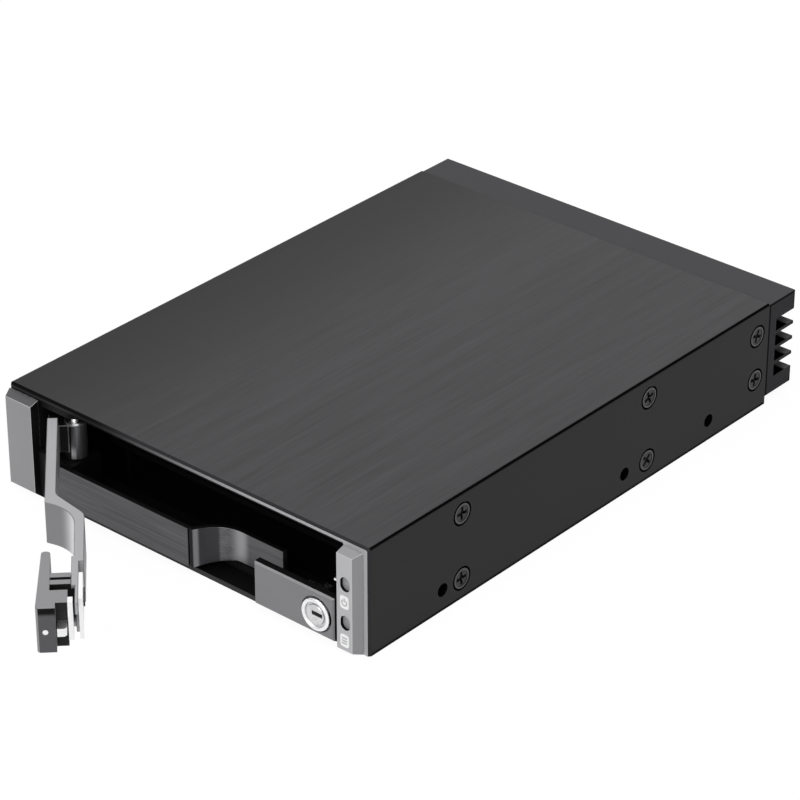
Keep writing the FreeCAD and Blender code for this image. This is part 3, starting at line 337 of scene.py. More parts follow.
# The top of the block is painted paler than its sides: painted light from above.
rear_top_painted_light = grained_finish("rear block top with painted light", "#404042", "#4a4a4c", 0.35, 0.55, 0.66, 0.02,
                          IOR=1.53, Specular_IOR_Level=0.1)
# Inside the louvres the moulding is painted black as painted shade; the outer ends of the fins are
# painted pale grey as painted light.
louvre_painted_light_and_shade = grained_finish("shaded louvre moulding", "#606062", "#6c6c6e",
                            0.35, 0.5, 0.62, 0.02, IOR=1.53, Specular_IOR_Level=0.0)
banded(louvre_painted_light_and_shade, to_back, (40, 41, 74.0, 75.0), "#020202")
rear_low, rear_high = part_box("rear_housing")
louvre_depth, louvre_margin = 6.7 * MM, 0.1 * MM


def in_louvre(at, way):
    """Whether a face lies inside one of the louvres."""
    behind = at.y > rear_high.y - louvre_depth - louvre_margin
    between = rear_low.z + MM < at.z < rear_high.z - MM
    return (behind and between and abs(way.x) < 0.5
            and (abs(way.z) > 0.9 or at.y < rear_high.y - MM))


eased("rear_housing", "rear_block", 0.25, rear_abs,
      [(louvre_painted_light_and_shade, in_louvre), (rear_top_painted_light, lambda at, way: way.z > 0.9)], moulded_abs_and_shade)

# Cover: aluminium sheet, finely brushed front to back, black anodised and folded over three sides.
# The front edge is milled after anodising, so bare metal shows there as a bright line, with painted
# light and shade along it.
# It is held by countersunk screws in both sides.


def brushed_anodised(name, dark, light, along, contrast, rough_low, rough_high, **shader_values):
    """Brushed metal: long hairlines take the dye unevenly, and each catches light its own way.

    Real hairlines are finer, and are drawn as coarse as they need to show in the render.
    """
    material, tree, shader, place = blank_material(name, **shader_values)
    hairline, run, band = 1 / (0.4 * MM), 1 / (16 * MM), 1 / (2.2 * MM)
    band_share = 0.4
    fine_scale = [run if axis == along else hairline for axis in "XYZ"]
    band_scale = [run / 2 if axis == along else band for axis in "XYZ"]
    fine_place = add(tree, "ShaderNodeMapping", {"Vector": place, "Scale": fine_scale})
    band_place = add(tree, "ShaderNodeMapping", {"Vector": place, "Scale": band_scale})
    fine = add(tree, "ShaderNodeTexNoise", {
        "Vector": fine_place.outputs[0], "Scale": 1.0, "Detail": 4.0})
    bands = add(tree, "ShaderNodeTexNoise", {
        "Vector": band_place.outputs[0], "Scale": 1.0, "Detail": 2.0})
    both = add(tree, "ShaderNodeMix", {
        "Factor": band_share, 2: fine.outputs["Fac"], 3: bands.outputs["Fac"]})
    spread = add(tree, "ShaderNodeMapRange", {
        "Value": both.outputs[0], "From Min": 0.5 - 0.5 / contrast,
        "From Max": 0.5 + 0.5 / contrast})
    colour = add(tree, "ShaderNodeMix", {
        "Factor": spread.outputs[0], 6: linear(dark), 7: linear(light)}, data_type="RGBA")
    gloss = add(tree, "ShaderNodeMapRange", {
        "Value": spread.outputs[0], "To Min": rough_low, "To Max": rough_high})
    relief = add(tree, "ShaderNodeBump", {
        "Height": fine.outputs["Fac"], "Distance": 0.02 * MM, "Strength": 0.2})
    tree.links.new(colour.outputs[2], shader.inputs["Base Color"])
    tree.links.new(gloss.outputs["Result"], shader.inputs["Roughness"])
    tree.links.new(relief.outputs["Normal"], shader.inputs["Normal"])
    return material


# Black anodising on finely brushed aluminium: an even dark grey under strong light, with faint
# hairlines. It is darker towards the left: painted shade, where less light falls.
cover_finish = brushed_anodised("brushed black anodised aluminium", "#28282a", "#404042", "Y",
                                2.4, 0.46, 0.54, Metallic=0.6)
banded(cover_finish, to_right, (-90, -89, -56, 0), "#080809", 0.9)
# The sides are brushed finer than the top, so they are more even, and painted darker as painted
# shade, where less light falls. Along their foot a dull black line is painted shade.
side_painted_shade = brushed_anodised("anodised sides with painted shade", "#1c1c1d", "#252526", "Y",
                               1.4, 0.5, 0.56, Metallic=0.6, Specular_IOR_Level=0.3)
banded(side_painted_shade, upwards, (-1, -0.9, 0.5, 0.8), "#040404", dull=True)
# The middle of each fold along the top is painted full black: a painted dark reflection.
fold_painted_reflection = grained_finish("black anodised fold", "#070707", "#0c0c0c", 0.4, 0.6, 0.7, 0.01,
                            Specular_IOR_Level=0.0)
# The chamfer is a little darker than the flat sheet, and painted much darker towards the left as
# painted shade.
chamfer_painted_shade = grained_finish("chamfer with painted shade", "#2a2a2c", "#353537", 0.4, 0.5, 0.6, 0.01,
                             Specular_IOR_Level=0.03)
banded(chamfer_painted_shade, to_right, (-90, -89, -28, -12), "#030303", 0.95)


def milled_edge_painted_light():
    """Milled aluminium, finely grained: painted light on the right, painted shade on the left.

    The top corner has a painted black shade line, and the edge over the right post
    a painted highlight.
    """
    material, tree, shader, place = blank_material(
        "milled aluminium edge", Metallic=0.4, Roughness=0.45, Specular_IOR_Level=0.1)
    sideways = add(tree, "ShaderNodeSeparateXYZ", {0: place})
    bright = add(tree, "ShaderNodeMapRange", {
        "Value": sideways.outputs["X"], "From Min": -28 * MM, "From Max": 26 * MM},
        interpolation_type="SMOOTHSTEP")
    grain = add(tree, "ShaderNodeTexNoise", {
        "Vector": place, "Scale": 1 / (0.3 * MM), "Detail": 2.0})
    pale = add(tree, "ShaderNodeMix", {
        "Factor": grain.outputs["Fac"], 6: linear("#9c9c9e"), 7: linear("#b8b8ba")},
        data_type="RGBA")
    colour = add(tree, "ShaderNodeMix", {
        "Factor": bright.outputs[0], 6: linear("#2a2a2c"), 7: pale.outputs[2]},
        data_type="RGBA")
    tree.links.new(colour.outputs[2], shader.inputs["Base Color"])
    banded(material, upwards, (-10, -9, 24.15, 24.3), "#050505")
    banded(material, to_right, (43.9, 44.1, 60, 61), "#b0b0b2")
    return material


cover_low, cover_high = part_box("cover")
sheet = 1.5 * MM


def in_hole(at, way):
    """Whether a face is the wall of a hole through one of the cover's sides."""
    return (abs(at.x) > cover_high.x - sheet and abs(way.x) < 0.85
            and MM < at.z < cover_high.z - 2 * sheet and at.y > cover_low.y + MM)


def on_fold(at, way):
    """Whether a face belongs to the middle of a fold along the top."""
    return 0.4 < way.z < 0.9 and abs(way.x) > 0.4


eased("cover", "folded_cover", 0.05, cover_finish, [
    (hole_painted_shade, in_hole),
    (milled_edge_painted_light(), lambda at, way: way.y < -0.9),
    (chamfer_painted_shade, lambda at, way: way.y < -0.3),
    (fold_painted_reflection, on_fold),
    (side_painted_shade, lambda at, way: abs(way.x) > 0.87),
])

# Cover and floor screws: countersunk steel with a cross recess, blackened, flush with the sheet.
# Each head has a flat rim round a slightly sunk middle, and a thin shadow gap round it.


def screw_tree(finish, rim_finish):
    """Flat-head screws with a cross recess, one on each point of the input mesh."""
    tree = bpy.data.node_groups.new("cross-recess screws", "GeometryNodeTree")
    face = tree.interface
    face.new_socket("Seats", in_out="INPUT", socket_type="NodeSocketGeometry")
    for name in ("Head Radius", "Shank Radius", "Length", "Rim Width", "Rim Height",
                 "Recess Span", "Recess Width", "Recess Depth"):
        face.new_socket(name, in_out="INPUT", socket_type="NodeSocketFloat")
    face.new_socket("Facing", in_out="INPUT", socket_type="NodeSocketVector")
    face.new_socket("Seed", in_out="INPUT", socket_type="NodeSocketInt")
    face.new_socket("Screws", in_out="OUTPUT", socket_type="NodeSocketGeometry")
    given = add(tree, "NodeGroupInput").outputs
    # Sizes differ by a hair, so that no two faces of the joined and cutting shapes coincide.
    taller_wing, raised_pit, skewed_pit, slim_shank = (1, 1, 1.02), -0.999, (0, 0, 0.1), 0.97
    depth = add(tree, "ShaderNodeMath", {0: given["Head Radius"], 1: given["Shank Radius"]},
                operation="SUBTRACT")
    cone = add(tree, "GeometryNodeMeshCone", {
        "Vertices": 48, "Radius Top": given["Head Radius"],
        "Radius Bottom": given["Shank Radius"], "Depth": depth.outputs[0]})
    down = add(tree, "ShaderNodeMath", {0: depth.outputs[0], 1: -1.0}, operation="MULTIPLY")
    lowered = add(tree, "ShaderNodeCombineXYZ", {"Z": down.outputs[0]})
    head = add(tree, "GeometryNodeTransform", {
        "Geometry": cone.outputs["Mesh"], "Translation": lowered.outputs[0]})
    middle = add(tree, "ShaderNodeMath", {0: given["Head Radius"], 1: given["Rim Width"]},
                 operation="SUBTRACT")
    sunk_height = add(tree, "ShaderNodeMath", {0: given["Rim Height"], 1: 2.0},
                      operation="MULTIPLY")
    disc = add(tree, "GeometryNodeMeshCylinder", {
        "Vertices": 40, "Radius": middle.outputs[0], "Depth": sunk_height.outputs[0]})
    wing_size = add(tree, "ShaderNodeCombineXYZ", {
        "X": given["Recess Span"], "Y": given["Recess Width"], "Z": given["Recess Depth"]})
    wing = add(tree, "GeometryNodeMeshCube", {"Size": wing_size.outputs[0]})
    crossed = add(tree, "GeometryNodeTransform", {
        "Geometry": wing.outputs["Mesh"], "Rotation": (0, 0, math.pi / 2),
        "Scale": taller_wing})
    pit_cone = add(tree, "GeometryNodeMeshCone", {
        "Vertices": 16, "Radius Top": given["Recess Width"], "Radius Bottom": 0.0,
        "Depth": given["Recess Depth"]})
    sunk = add(tree, "ShaderNodeMath", {0: given["Recess Depth"], 1: raised_pit},
               operation="MULTIPLY")
    sunk_place = add(tree, "ShaderNodeCombineXYZ", {"Z": sunk.outputs[0]})
    pit = add(tree, "GeometryNodeTransform", {
        "Geometry": pit_cone.outputs["Mesh"], "Translation": sunk_place.outputs[0],
        "Rotation": skewed_pit})
    lap = add(tree, "ShaderNodeMath", {0: depth.outputs[0], 1: 0.5}, operation="MULTIPLY")
    shank_length = add(tree, "ShaderNodeMath", {0: given["Length"], 1: lap.outputs[0]},
                       operation="SUBTRACT")
    shank_mid = add(tree, "ShaderNodeMath", {0: given["Length"], 1: lap.outputs[0]},
                    operation="ADD")
    shank_drop = add(tree, "ShaderNodeMath", {0: shank_mid.outputs[0], 1: -0.5},
                     operation="MULTIPLY")
    shank_place = add(tree, "ShaderNodeCombineXYZ", {"Z": shank_drop.outputs[0]})
    shank_radius = add(tree, "ShaderNodeMath", {0: given["Shank Radius"], 1: slim_shank},
                       operation="MULTIPLY")
    shank = add(tree, "GeometryNodeMeshCylinder", {
        "Vertices": 24, "Radius": shank_radius.outputs[0], "Depth": shank_length.outputs[0]})
    stem = add(tree, "GeometryNodeTransform", {
        "Geometry": shank.outputs["Mesh"], "Translation": shank_place.outputs[0]})
    screw = add(tree, "GeometryNodeMeshBoolean", {"Mesh 2": head.outputs[0]},
                operation="UNION", solver="EXACT")
    tree.links.new(stem.outputs[0], screw.inputs["Mesh 2"])
    for tool in (disc.outputs["Mesh"], wing.outputs["Mesh"], crossed.outputs[0], pit.outputs[0]):
        screw = add(tree, "GeometryNodeMeshBoolean", {"Mesh 1": screw.outputs[0], "Mesh 2": tool},
                    operation="DIFFERENCE", solver="EXACT")
    position = add(tree, "GeometryNodeInputPosition")
    height = add(tree, "ShaderNodeSeparateXYZ", {0: position.outputs[0]})
    rim_level = add(tree, "ShaderNodeMath", {0: given["Rim Height"], 1: -0.1},
                    operation="MULTIPLY")
    on_rim = add(tree, "FunctionNodeCompare", {0: height.outputs["Z"], 1: rim_level.outputs[0]},
                 data_type="FLOAT", operation="GREATER_THAN")
    marked = add(tree, "GeometryNodeStoreNamedAttribute", {
        "Geometry": screw.outputs[0], "Name": "rim", "Value": on_rim.outputs[0]},
        data_type="BOOLEAN", domain="FACE")
    placed = add(tree, "GeometryNodeInstanceOnPoints", {
        "Points": given["Seats"], "Instance": marked.outputs[0], "Rotation": given["Facing"]})
    spin = add(tree, "FunctionNodeRandomValue", {3: math.pi / 2, "Seed": given["Seed"]},
               data_type="FLOAT")
    twist = add(tree, "ShaderNodeCombineXYZ", {"Z": spin.outputs[1]})
    driven = add(tree, "GeometryNodeRotateInstances", {
        "Instances": placed.outputs[0], "Rotation": twist.outputs[0], "Local Space": True})
    solid = add(tree, "GeometryNodeRealizeInstances", {"Geometry": driven.outputs[0]})
    finished = add(tree, "GeometryNodeSetMaterial", {
        "Geometry": solid.outputs[0], "Material": finish})
    rim = add(tree, "GeometryNodeInputNamedAttribute", {"Name": "rim"}, data_type="BOOLEAN")
    rimmed = add(tree, "GeometryNodeSetMaterial", {
        "Geometry": finished.outputs[0], "Selection": rim.outputs["Attribute"],
        "Material": rim_finish})
    add(tree, "NodeGroupOutput", {"Screws": rimmed.outputs[0]})
    return tree


# Black oxide on steel: deep grey with a soft gleam, painted a little lighter along the rim as a
# painted highlight.
black_oxide = grained_finish("black oxide steel", "#1f1f20", "#363638", 0.25, 0.34, 0.46, 0.01,
                             Metallic=0.6)
oxide_rim_highlight = grained_finish("black oxide steel with painted rim highlight", "#424244", "#565658",
                              0.25, 0.34, 0.46, 0.01, Metallic=0.6)
paint(black_oxide, "latch_screws", "rail_screws", "board_screws", "lock_screw")
screws = screw_tree(black_oxide, oxide_rim_highlight)
# On the sides, places behind the cover's front edge and above its foot; below, in the tray's plan.
side_rows = ((28.4, 20.4), (28.4, 4.9), (90.3, 20.4), (90.3, 4.9), (129.5, 18.9), (129.5, 7.9))
floor_out, floor_rows = 45.35, (-60.15, 61.35)
sizes_mm = {"Head Radius": 2.28, "Shank Radius": 1.5, "Length": 2.7, "Rim Width": 0.4,
            "Rim Height": 0.1, "Recess Span": 3.0, "Recess Width": 0.72, "Recess Depth": 1.5}
side_sizes = {label: size * MM for label, size in sizes_mm.items()}
floor_sizes = {**side_sizes, "Head Radius": 2.3 * MM}
screw_sets = [
    (f"cover_screws_{label}",
     [(side * cover_high.x, cover_low.y + along * MM, up * MM) for along, up in side_rows],
     (0, side * math.pi / 2, 0), side_sizes, seed)
    for label, side, seed in (("left", -1, 3), ("right", 1, 151))]
screw_sets.append((
    "floor_screws",
    [(side * floor_out * MM, along * MM, 0) for side in (-1, 1) for along in floor_rows],
    (math.pi, 0, 0), floor_sizes, 5))
for node, seats, facing, sizes, seed in screw_sets:
    piece = grown(node.replace("screws", "cross_screws"), screws, seats,
                  {**sizes, "Facing": facing, "Seed": seed})
    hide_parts(node)
    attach(piece, body_of[node])

# Front frame: one black ABS moulding behind the bezel, plugged into the tray and the cover.
# It carries the lever's hinge lugs and keeps the slot in deep shadow.

paint(moulded_abs_and_shade, "front_frame")

# Bezel posts: die-cast corners with wide bevels, pegged to the front frame.
# They are sprayed in satin grey; the sides that face the slot and the light holes stay black.

# Satin lacquer over die casting: even mid grey with fine metal flake.
post_lacquer = grained_finish("satin grey lacquer", "#828284", "#959597", 0.22, 0.4, 0.5, 0.008,
                              Metallic=0.2)
# The right post's face is painted paler than the rest as painted light, and the left post's top
# darker as painted shade.
post_face_painted_light = grained_finish("grey lacquer with painted light", "#a8a8aa", "#bcbcbe",
                              0.22, 0.4, 0.5, 0.008, Metallic=0.2)
post_top_painted_shade = grained_finish("slate lacquer with painted shade", "#444446", "#545456", 0.3, 0.42, 0.52, 0.02,
                              Metallic=0.2)
# The edges of the posts are painted as pale lines: painted highlights where they catch the light.
post_edge_highlight = grained_finish("lacquer edge with painted highlight", "#c4c4c6", "#d8d8da",
                              0.22, 0.3, 0.4, 0.004, Metallic=0.3)
# Masked casting, blackened and never sprayed; on the light holes' walls and the lever's web this
# black is painted shade.
masked_black_and_shade = grained_finish("black masked casting", "#050505", "#0a0a0b", 0.3, 0.5, 0.6, 0.01,
                            Specular_IOR_Level=0.15)
light_boxes = [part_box(name) for name in ("light_pipe_upper", "light_pipe_lower")]
hole_margin = 0.3 * MM


def in_light_hole(at, way):
    """Whether a face is the wall of one of the light holes."""
    return way.y > -0.5 and any(
        low.x - hole_margin < at.x < high.x + hole_margin
        and low.z - hole_margin < at.z < high.z + hole_margin
        for low, high in light_boxes)


eased("left_post", "left_bezel_post", 0.2, post_lacquer,
      [(masked_black_and_shade, lambda at, way: way.x > 0.9 or way.y > 0.5),
       (post_top_painted_shade, lambda at, way: way.z > 0.2)], post_edge_highlight)
eased("right_post", "right_bezel_post", 0.2, post_face_painted_light,
      [(masked_black_and_shade, lambda at, way: way.x < -0.9 or way.y > 0.5 or in_light_hole(at, way)),
       (post_lacquer, lambda at, way: way.x > 0.2 or way.z > 0.2)], post_edge_highlight)

# Signal lights: frosted acrylic pipes, pushed into the right post and sunk below its face.
# A white printed square under each of them carries a plain symbol.

# Frosted acrylic: milky grey while unlit, with a soft gloss.
frosted_acrylic = grained_finish("frosted acrylic", "#88888a", "#a0a0a2", 1.2, 0.22, 0.32, 0.004,
                                 IOR=1.49)
paint(frosted_acrylic, "light_pipe_upper", "light_pipe_lower")


def flat_marks(name, outlines, finish, front, back):
    """Thin printed marks: each outline in x and z, filled between two depths, all in one mesh."""
    shape = bmesh.new()
    for outline in outlines:
        near = [shape.verts.new((x * MM, front, z * MM)) for x, z in outline]
        far = [shape.verts.new((x * MM, back, z * MM)) for x, z in outline]
        shape.faces.new(near)
        shape.faces.new(far)
        for number in range(len(outline)):
            shape.faces.new((near[number], near[number - 1], far[number - 1], far[number]))
    bmesh.ops.recalc_face_normals(shape, faces=shape.faces)
    mesh = bpy.data.meshes.new(name)
    shape.to_mesh(mesh)
    shape.free()
    mesh.materials.append(finish)
    piece = bpy.data.objects.new(name, mesh)
    bpy.context.scene.collection.objects.link(piece)
    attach(piece, "cage")


def arc(x, z, radius, start, end, steps):
    """Points along an arc, by angles in degrees."""
    turns = [math.radians(start + (end - start) * step / steps) for step in range(steps + 1)]
    return [(x + radius * math.cos(turn), z + radius * math.sin(turn)) for turn in turns]


def rounded_square(x, z, width, height, radius):
    """A rectangle with round corners about its middle."""
    corners = ((1, 1, 0), (-1, 1, 90), (-1, -1, 180), (1, -1, 270))
    return [point for right, up, start in corners for point in arc(
        x + right * (width / 2 - radius), z + up * (height / 2 - radius),
        radius, start, start + 90, 5)]


# Screen-printed white ink, and pale grey ink over it: flat and even, with a faint mesh texture.
white_ink = grained_finish("white screen ink", "#e6e6e6", "#f2f2f2", 0.4, 0.5, 0.6, 0.003)
grey_ink = grained_finish("grey screen ink", "#a4a4a6", "#b4b4b6", 0.4, 0.5, 0.6, 0.003)
post_low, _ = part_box("right_post")
post_face = post_low.y
white_proud, grey_proud, ink_root = 0.03 * MM, 0.05 * MM, 0.05 * MM
mark_x, upper_z, lower_z = 46.25, 12.3, 3.2
mark_width, mark_height, mark_corner = 2.3, 3.0, 0.6
flat_marks("light_marks",
           [rounded_square(mark_x, z, mark_width, mark_height, mark_corner)
            for z in (upper_z, lower_z)],
           white_ink, post_face - white_proud, post_face + ink_root)
ring_z, ring_outer, ring_inner, ring_steps = upper_z - 0.1, 0.8, 0.5, 20
gap_start, gap_end = 120, 420
power_ring = (arc(mark_x, ring_z, ring_outer, gap_start, gap_end, ring_steps)
              + arc(mark_x, ring_z, ring_inner, gap_end, gap_start, ring_steps))
bar_half, bar_height = 0.15, 1.0
power_bar = [(mark_x - bar_half, upper_z), (mark_x + bar_half, upper_z),
             (mark_x + bar_half, upper_z + bar_height), (mark_x - bar_half, upper_z + bar_height)]
drive_bars = [rounded_square(mark_x, lower_z + rise, 1.4, 0.32, 0.14) for rise in (-0.6, 0.0, 0.6)]
flat_marks("light_symbols", [power_ring, power_bar] + drive_bars, grey_ink,
           post_face - grey_proud, post_face)

# Front sill: dark aluminium strip, brushed along its length and bent back to make room for fingers.
# It is clipped to the front frame, and its bend is painted brighter as a painted reflection.

# Brushed dark anodising: hairlines along the strip, with a satin gleam.
# Its zones are: the long face, a shade darker; the bend's shoulder, a painted dark line with a
# painted highlight beside it; the bend's slant, painted shade; the curve, a painted reflection;
# and the end behind the lever, painted shade.
sill_painted_light_and_shade = brushed_anodised("brushed dark anodised strip", "#4c4c4e", "#707072", "X",
                               2.5, 0.3, 0.42, Metallic=0.85)
for marks, colour, most in (
        ((-60, -59, 2.6, 2.7), "#1c1c1e", 0.2), ((2.6, 2.75, 3.75, 3.95), "#222224", 1.0),
        ((3.85, 3.95, 4.3, 4.65), "#7c7c7e", 1.0), ((4.3, 4.65, 7.0, 7.6), "#3a3a3c", 1.0),
        ((9.0, 12.0, 12.3, 14.4), "#9c9c9e", 1.0), ((-60, -59, -38.6, -38.3), "#040404", 1.0)):
    banded(sill_painted_light_and_shade, to_right, marks, colour, most)
eased("front_sill", "brushed_sill", 0.1, sill_painted_light_and_shade,
      [(masked_black_and_shade, lambda at, way: abs(way.z) > 0.9)])

# Lock panel: die-cast plate in the bezel's grey, a shade darker, with legs into the front frame.
# Its top and ends are masked black, and its front edges are bevelled.

# Satin lacquer over die casting, painted a shade lighter along the top and left bevels as painted light.
panel_lacquer = grained_finish("satin dark grey lacquer", "#707072", "#818183",
                               0.22, 0.42, 0.52, 0.008, Metallic=0.2)
panel_bevel_painted_light = grained_finish("panel bevel with painted light", "#7e7e80", "#929294", 0.22, 0.42, 0.52, 0.008,
                            Metallic=0.2)
eased("lock_panel", "lock_plate", 0.1, panel_lacquer,
      [(masked_black_and_shade, lambda at, way: way.z > 0.9 or abs(way.x) > 0.9 or way.y > 0.5),
       (panel_bevel_painted_light, lambda at, way: -0.9 < way.y < -0.3 and (way.z > 0.2 or way.x < -0.2))])

# Key lock: chromed brass barrel held by a nut behind the panel, with its turning core.
# The ring is dished inside its rounded lip, and the core's keyway is dark.


def turned(name, profile, middle, finish, dish_finish, dish_steps, node):
    """A ring turned about the lock's axis from its closed section: radius and place along the axis.

    The section starts in the dish, which has a finish of its own.
    """
    steps = 72
    shape = bmesh.new()
    rings = []
    for step in range(steps):
        turn = 2 * math.pi * step / steps
        rings.append([
            shape.verts.new((middle.x + radius * math.cos(turn), along,
                             middle.z + radius * math.sin(turn)))
            for radius, along in profile])
    for step in range(steps):
        near, far = rings[step], rings[step - 1]
        for number in range(len(profile)):
            wall = shape.faces.new((near[number], near[number - 1], far[number - 1], far[number]))
            wall.material_index = 1 if 0 < number <= dish_steps else 0
    bmesh.ops.recalc_face_normals(shape, faces=shape.faces)
    mesh = bpy.data.meshes.new(name)
    shape.to_mesh(mesh)
    shape.free()
    mesh.materials.append(finish)
    mesh.materials.append(dish_finish)
    mesh.shade_smooth()
    mesh.set_sharp_from_angle(angle=math.radians(40))
    piece = bpy.data.objects.new(name, mesh)
    bpy.context.scene.collection.objects.link(piece)
    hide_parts(node)
    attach(piece, body_of[node])


# Chrome plate: a white mirror with the faintest waviness.
chrome_plate = grained_finish("polished chrome plate", "#f2f2f3", "#fbfbfc",
                              3.0, 0.1, 0.16, 0.001, Metallic=1.0)
# The dish is plated without polish: pale grey, with a soft gleam.
dull_chrome = grained_finish("dull chrome in the dish", "#b0b0b2", "#e4e4e6",
                             0.5, 0.3, 0.4, 0.004, Metallic=0.8)
barrel_low, barrel_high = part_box("lock_barrel")
lock_middle = (barrel_low + barrel_high) / 2
# Radius, and depth behind the lip: from the dish over the lip and down the flange to the thread.
core_radius, thread_radius, dish_steps = 2.3, 3.0, 2
ring_section = [(core_radius, 0.5), (2.7, 0.48), (2.84, 0.2), (2.95, 0.07), (3.1, 0.0), (3.4, 0.0),
                (3.56, 0.08), (3.67, 0.22), (3.7, 0.42), (3.7, 1.4), (thread_radius, 1.4)]
ring_profile = [(radius * MM, barrel_low.y + along * MM) for radius, along in ring_section]
ring_profile += [(thread_radius * MM, barrel_high.y), (core_radius * MM, barrel_high.y)]
turned("lock_ring", ring_profile, lock_middle, chrome_plate, dull_chrome, dish_steps, "lock_barrel")
# The core's chrome is painted in grey and white blotches: painted reflections.
core_painted_reflections = grained_finish("chrome core with painted reflections", "#9c9c9e", "#ffffff", 1.1, 0.2, 0.34, 0.004,
                               Metallic=0.9)
# Plating hardly reaches into the keyway, so dull metal shows there as a dark slot.
keyway_grey = grained_finish("dull keyway brass", "#48484a", "#5c5c5e", 0.3, 0.5, 0.6, 0.01,
                             Metallic=0.3)
keyway_reach = 2.1 * MM


def in_keyway(at, way):
    """Whether a face of the core lies inside its keyway."""
    off_axis = at - Vector((lock_middle.x, at.y, lock_middle.z))
    return way.y > -0.5 and off_axis.length < keyway_reach


eased("lock_core", "lock_core_face", 0.06, core_painted_reflections, [(keyway_grey, in_keyway)])

# Door lever and hinge: a die-cast lever on a steel pin, with a bright washer on top of its barrel.
# The front plate and the finger bend are sprayed in satin silver; the barrel and web are painted
# dark as painted shade.

# Satin lacquer with coarse flake: pale silver grey with a soft gleam.
lever_lacquer = grained_finish("satin silver lacquer", "#9a9a9c", "#b0b0b2",
                               0.22, 0.36, 0.46, 0.008, Metallic=0.4)
lever_way = Vector(frame["joints"][1]["axis"])
# In the finger bend the near side is painted darker as painted shade, and the far side brightest as
# a painted highlight.
bend_painted_light_and_shade = grained_finish("satin silver lacquer with painted light in the bend", "#747476", "#868688",
                              0.22, 0.36, 0.46, 0.008, Metallic=0.4)
banded(bend_painted_light_and_shade, lever_way, (59.5, 64.5, 68, 69), "#f0f0f2")
banded(bend_painted_light_and_shade, lever_way, (64.7, 66.3, 68, 69), "#a6a6a8")
# The lever's rounded edges are a darker grey.
lever_edge = grained_finish("darker lever edge", "#6c6c6e", "#7c7c7e", 0.22, 0.4, 0.5, 0.004,
                            Metallic=0.4)
# Dark grey metal with a long soft gleam, painted darker than the lever as painted shade on the
# barrel's side that looks into the slot.
barrel_painted_shade = grained_finish("dark casting with painted shade", "#626264", "#727274",
                              0.3, 0.3, 0.38, 0.006, Metallic=0.6)
# Beside the plate the barrel is painted bright at its foot: a painted reflection.
barrel_foot_painted_reflection = grained_finish("casting with painted reflection", "#48484a", "#565658", 0.3, 0.3, 0.38, 0.006,
                              Metallic=0.6)
banded(barrel_foot_painted_reflection, upwards, (0, 0.1, 12.6, 15.6), "#c4c4c6")
hinge_axis = Vector(frame["joints"][0]["pos_m"])
barrel_bore, barrel_radius = 2 * MM, 3.4 * MM
bend_start, bend_end = 57 * MM, 67 * MM
slot_side = Vector((0.75, 0.66, 0))


def by_hinge(at, way):
    """Whether a face of the lever belongs to its barrel or web."""
    return math.hypot(at.x - hinge_axis.x, at.y - hinge_axis.y) < barrel_radius


def on_barrel(at, way):
    """Whether a face of the lever lies on the outside of its barrel."""
    spoke = Vector((at.x - hinge_axis.x, at.y - hinge_axis.y, 0))
    return barrel_bore < spoke.length < barrel_radius and way.dot(spoke.normalized()) > 0.9


def on_slot_side(at, way):
    """Whether a face lies on the half of the barrel that looks into the slot."""
    return on_barrel(at, way) and way.dot(slot_side) > 0.1


def beside_plate(at, way):
    """Whether a face lies on the barrel's flank beside the front plate."""
    return on_barrel(at, way) and way.dot(slot_side) > -0.35 and way.x > way.y


def in_bend(at, way):
    """Whether a face of the lever lies in its finger bend, on the side of the fingers."""
    return (bend_start < at.dot(lever_way) < bend_end
            and way.x + way.y < -0.05 and abs(way.z) < 0.3)


eased("door_lever", "lever_casting", 0.16, lever_lacquer, [
    (barrel_painted_shade, on_slot_side),
    (barrel_foot_painted_reflection, beside_plate),
    (masked_black_and_shade, by_hinge),
    (bend_painted_light_and_shade, in_bend),
], lever_edge)
# Bright stainless steel: nearly white under soft light, with a fine drawn grain.
stainless = grained_finish("bright stainless steel", "#ececed", "#f8f8f9", 0.4, 0.24, 0.34, 0.004,
                           Metallic=1.0)
paint(stainless, "hinge_pin", "hinge_washer", "strike_plate")

# Sliding latch: a die-cast handle on the lever's end, with steel bolt, pin and plates.
# Two screws from behind hold it together; the handle's ends are painted darker as painted shade.

# Satin lacquer in a mid grey, with a softer gleam than the lever's.
handle_lacquer = grained_finish("satin handle lacquer", "#7c7c7e", "#8e8e90",
                                0.22, 0.42, 0.52, 0.008, Metallic=0.2)
# The outer end is painted a dull dark grey as painted shade, with a painted dark reflection along
# its top; the faces within are painted black as painted shade.
handle_end_painted_shade = grained_finish("handle end with painted shade", "#4e4e50", "#5c5c5e", 0.22, 0.45, 0.55, 0.008,
                          Specular_IOR_Level=0.1)
banded(handle_end_painted_shade, upwards, (21.4, 22.4, 40, 41), "#080809")
handle_inside_painted_shade = grained_finish("handle inside with painted shade", "#0c0c0d", "#1c1c1d", 0.3, 0.45, 0.55, 0.008,
                            Specular_IOR_Level=0.2)
# The handle's rounded edges are a darker grey.
handle_edge = grained_finish("darker handle edge", "#4c4c4e", "#5c5c5e", 0.22, 0.4, 0.5, 0.004,
                             Metallic=0.2)
handle_reach = max(vertex.co.dot(lever_way) for vertex in nodes["latch_handle"].data.vertices)
end_depth = 0.6 * MM


def across_slide(at, way):
    """Whether a face of the handle stands square to the slide."""
    return abs(way.dot(lever_way)) > 0.9


def on_handle_end(at, way):
    """Whether a face is the outer end of the handle."""
    return across_slide(at, way) and at.dot(lever_way) > handle_reach - end_depth


eased("latch_handle", "handle_casting", 0.2, handle_lacquer,
      [(handle_end_painted_shade, on_handle_end), (handle_inside_painted_shade, across_slide)], handle_edge)
paint(stainless, "latch_bolt", "latch_pin", "latch_face_plate", "latch_plate", "lock_cam",
      "lock_nut")

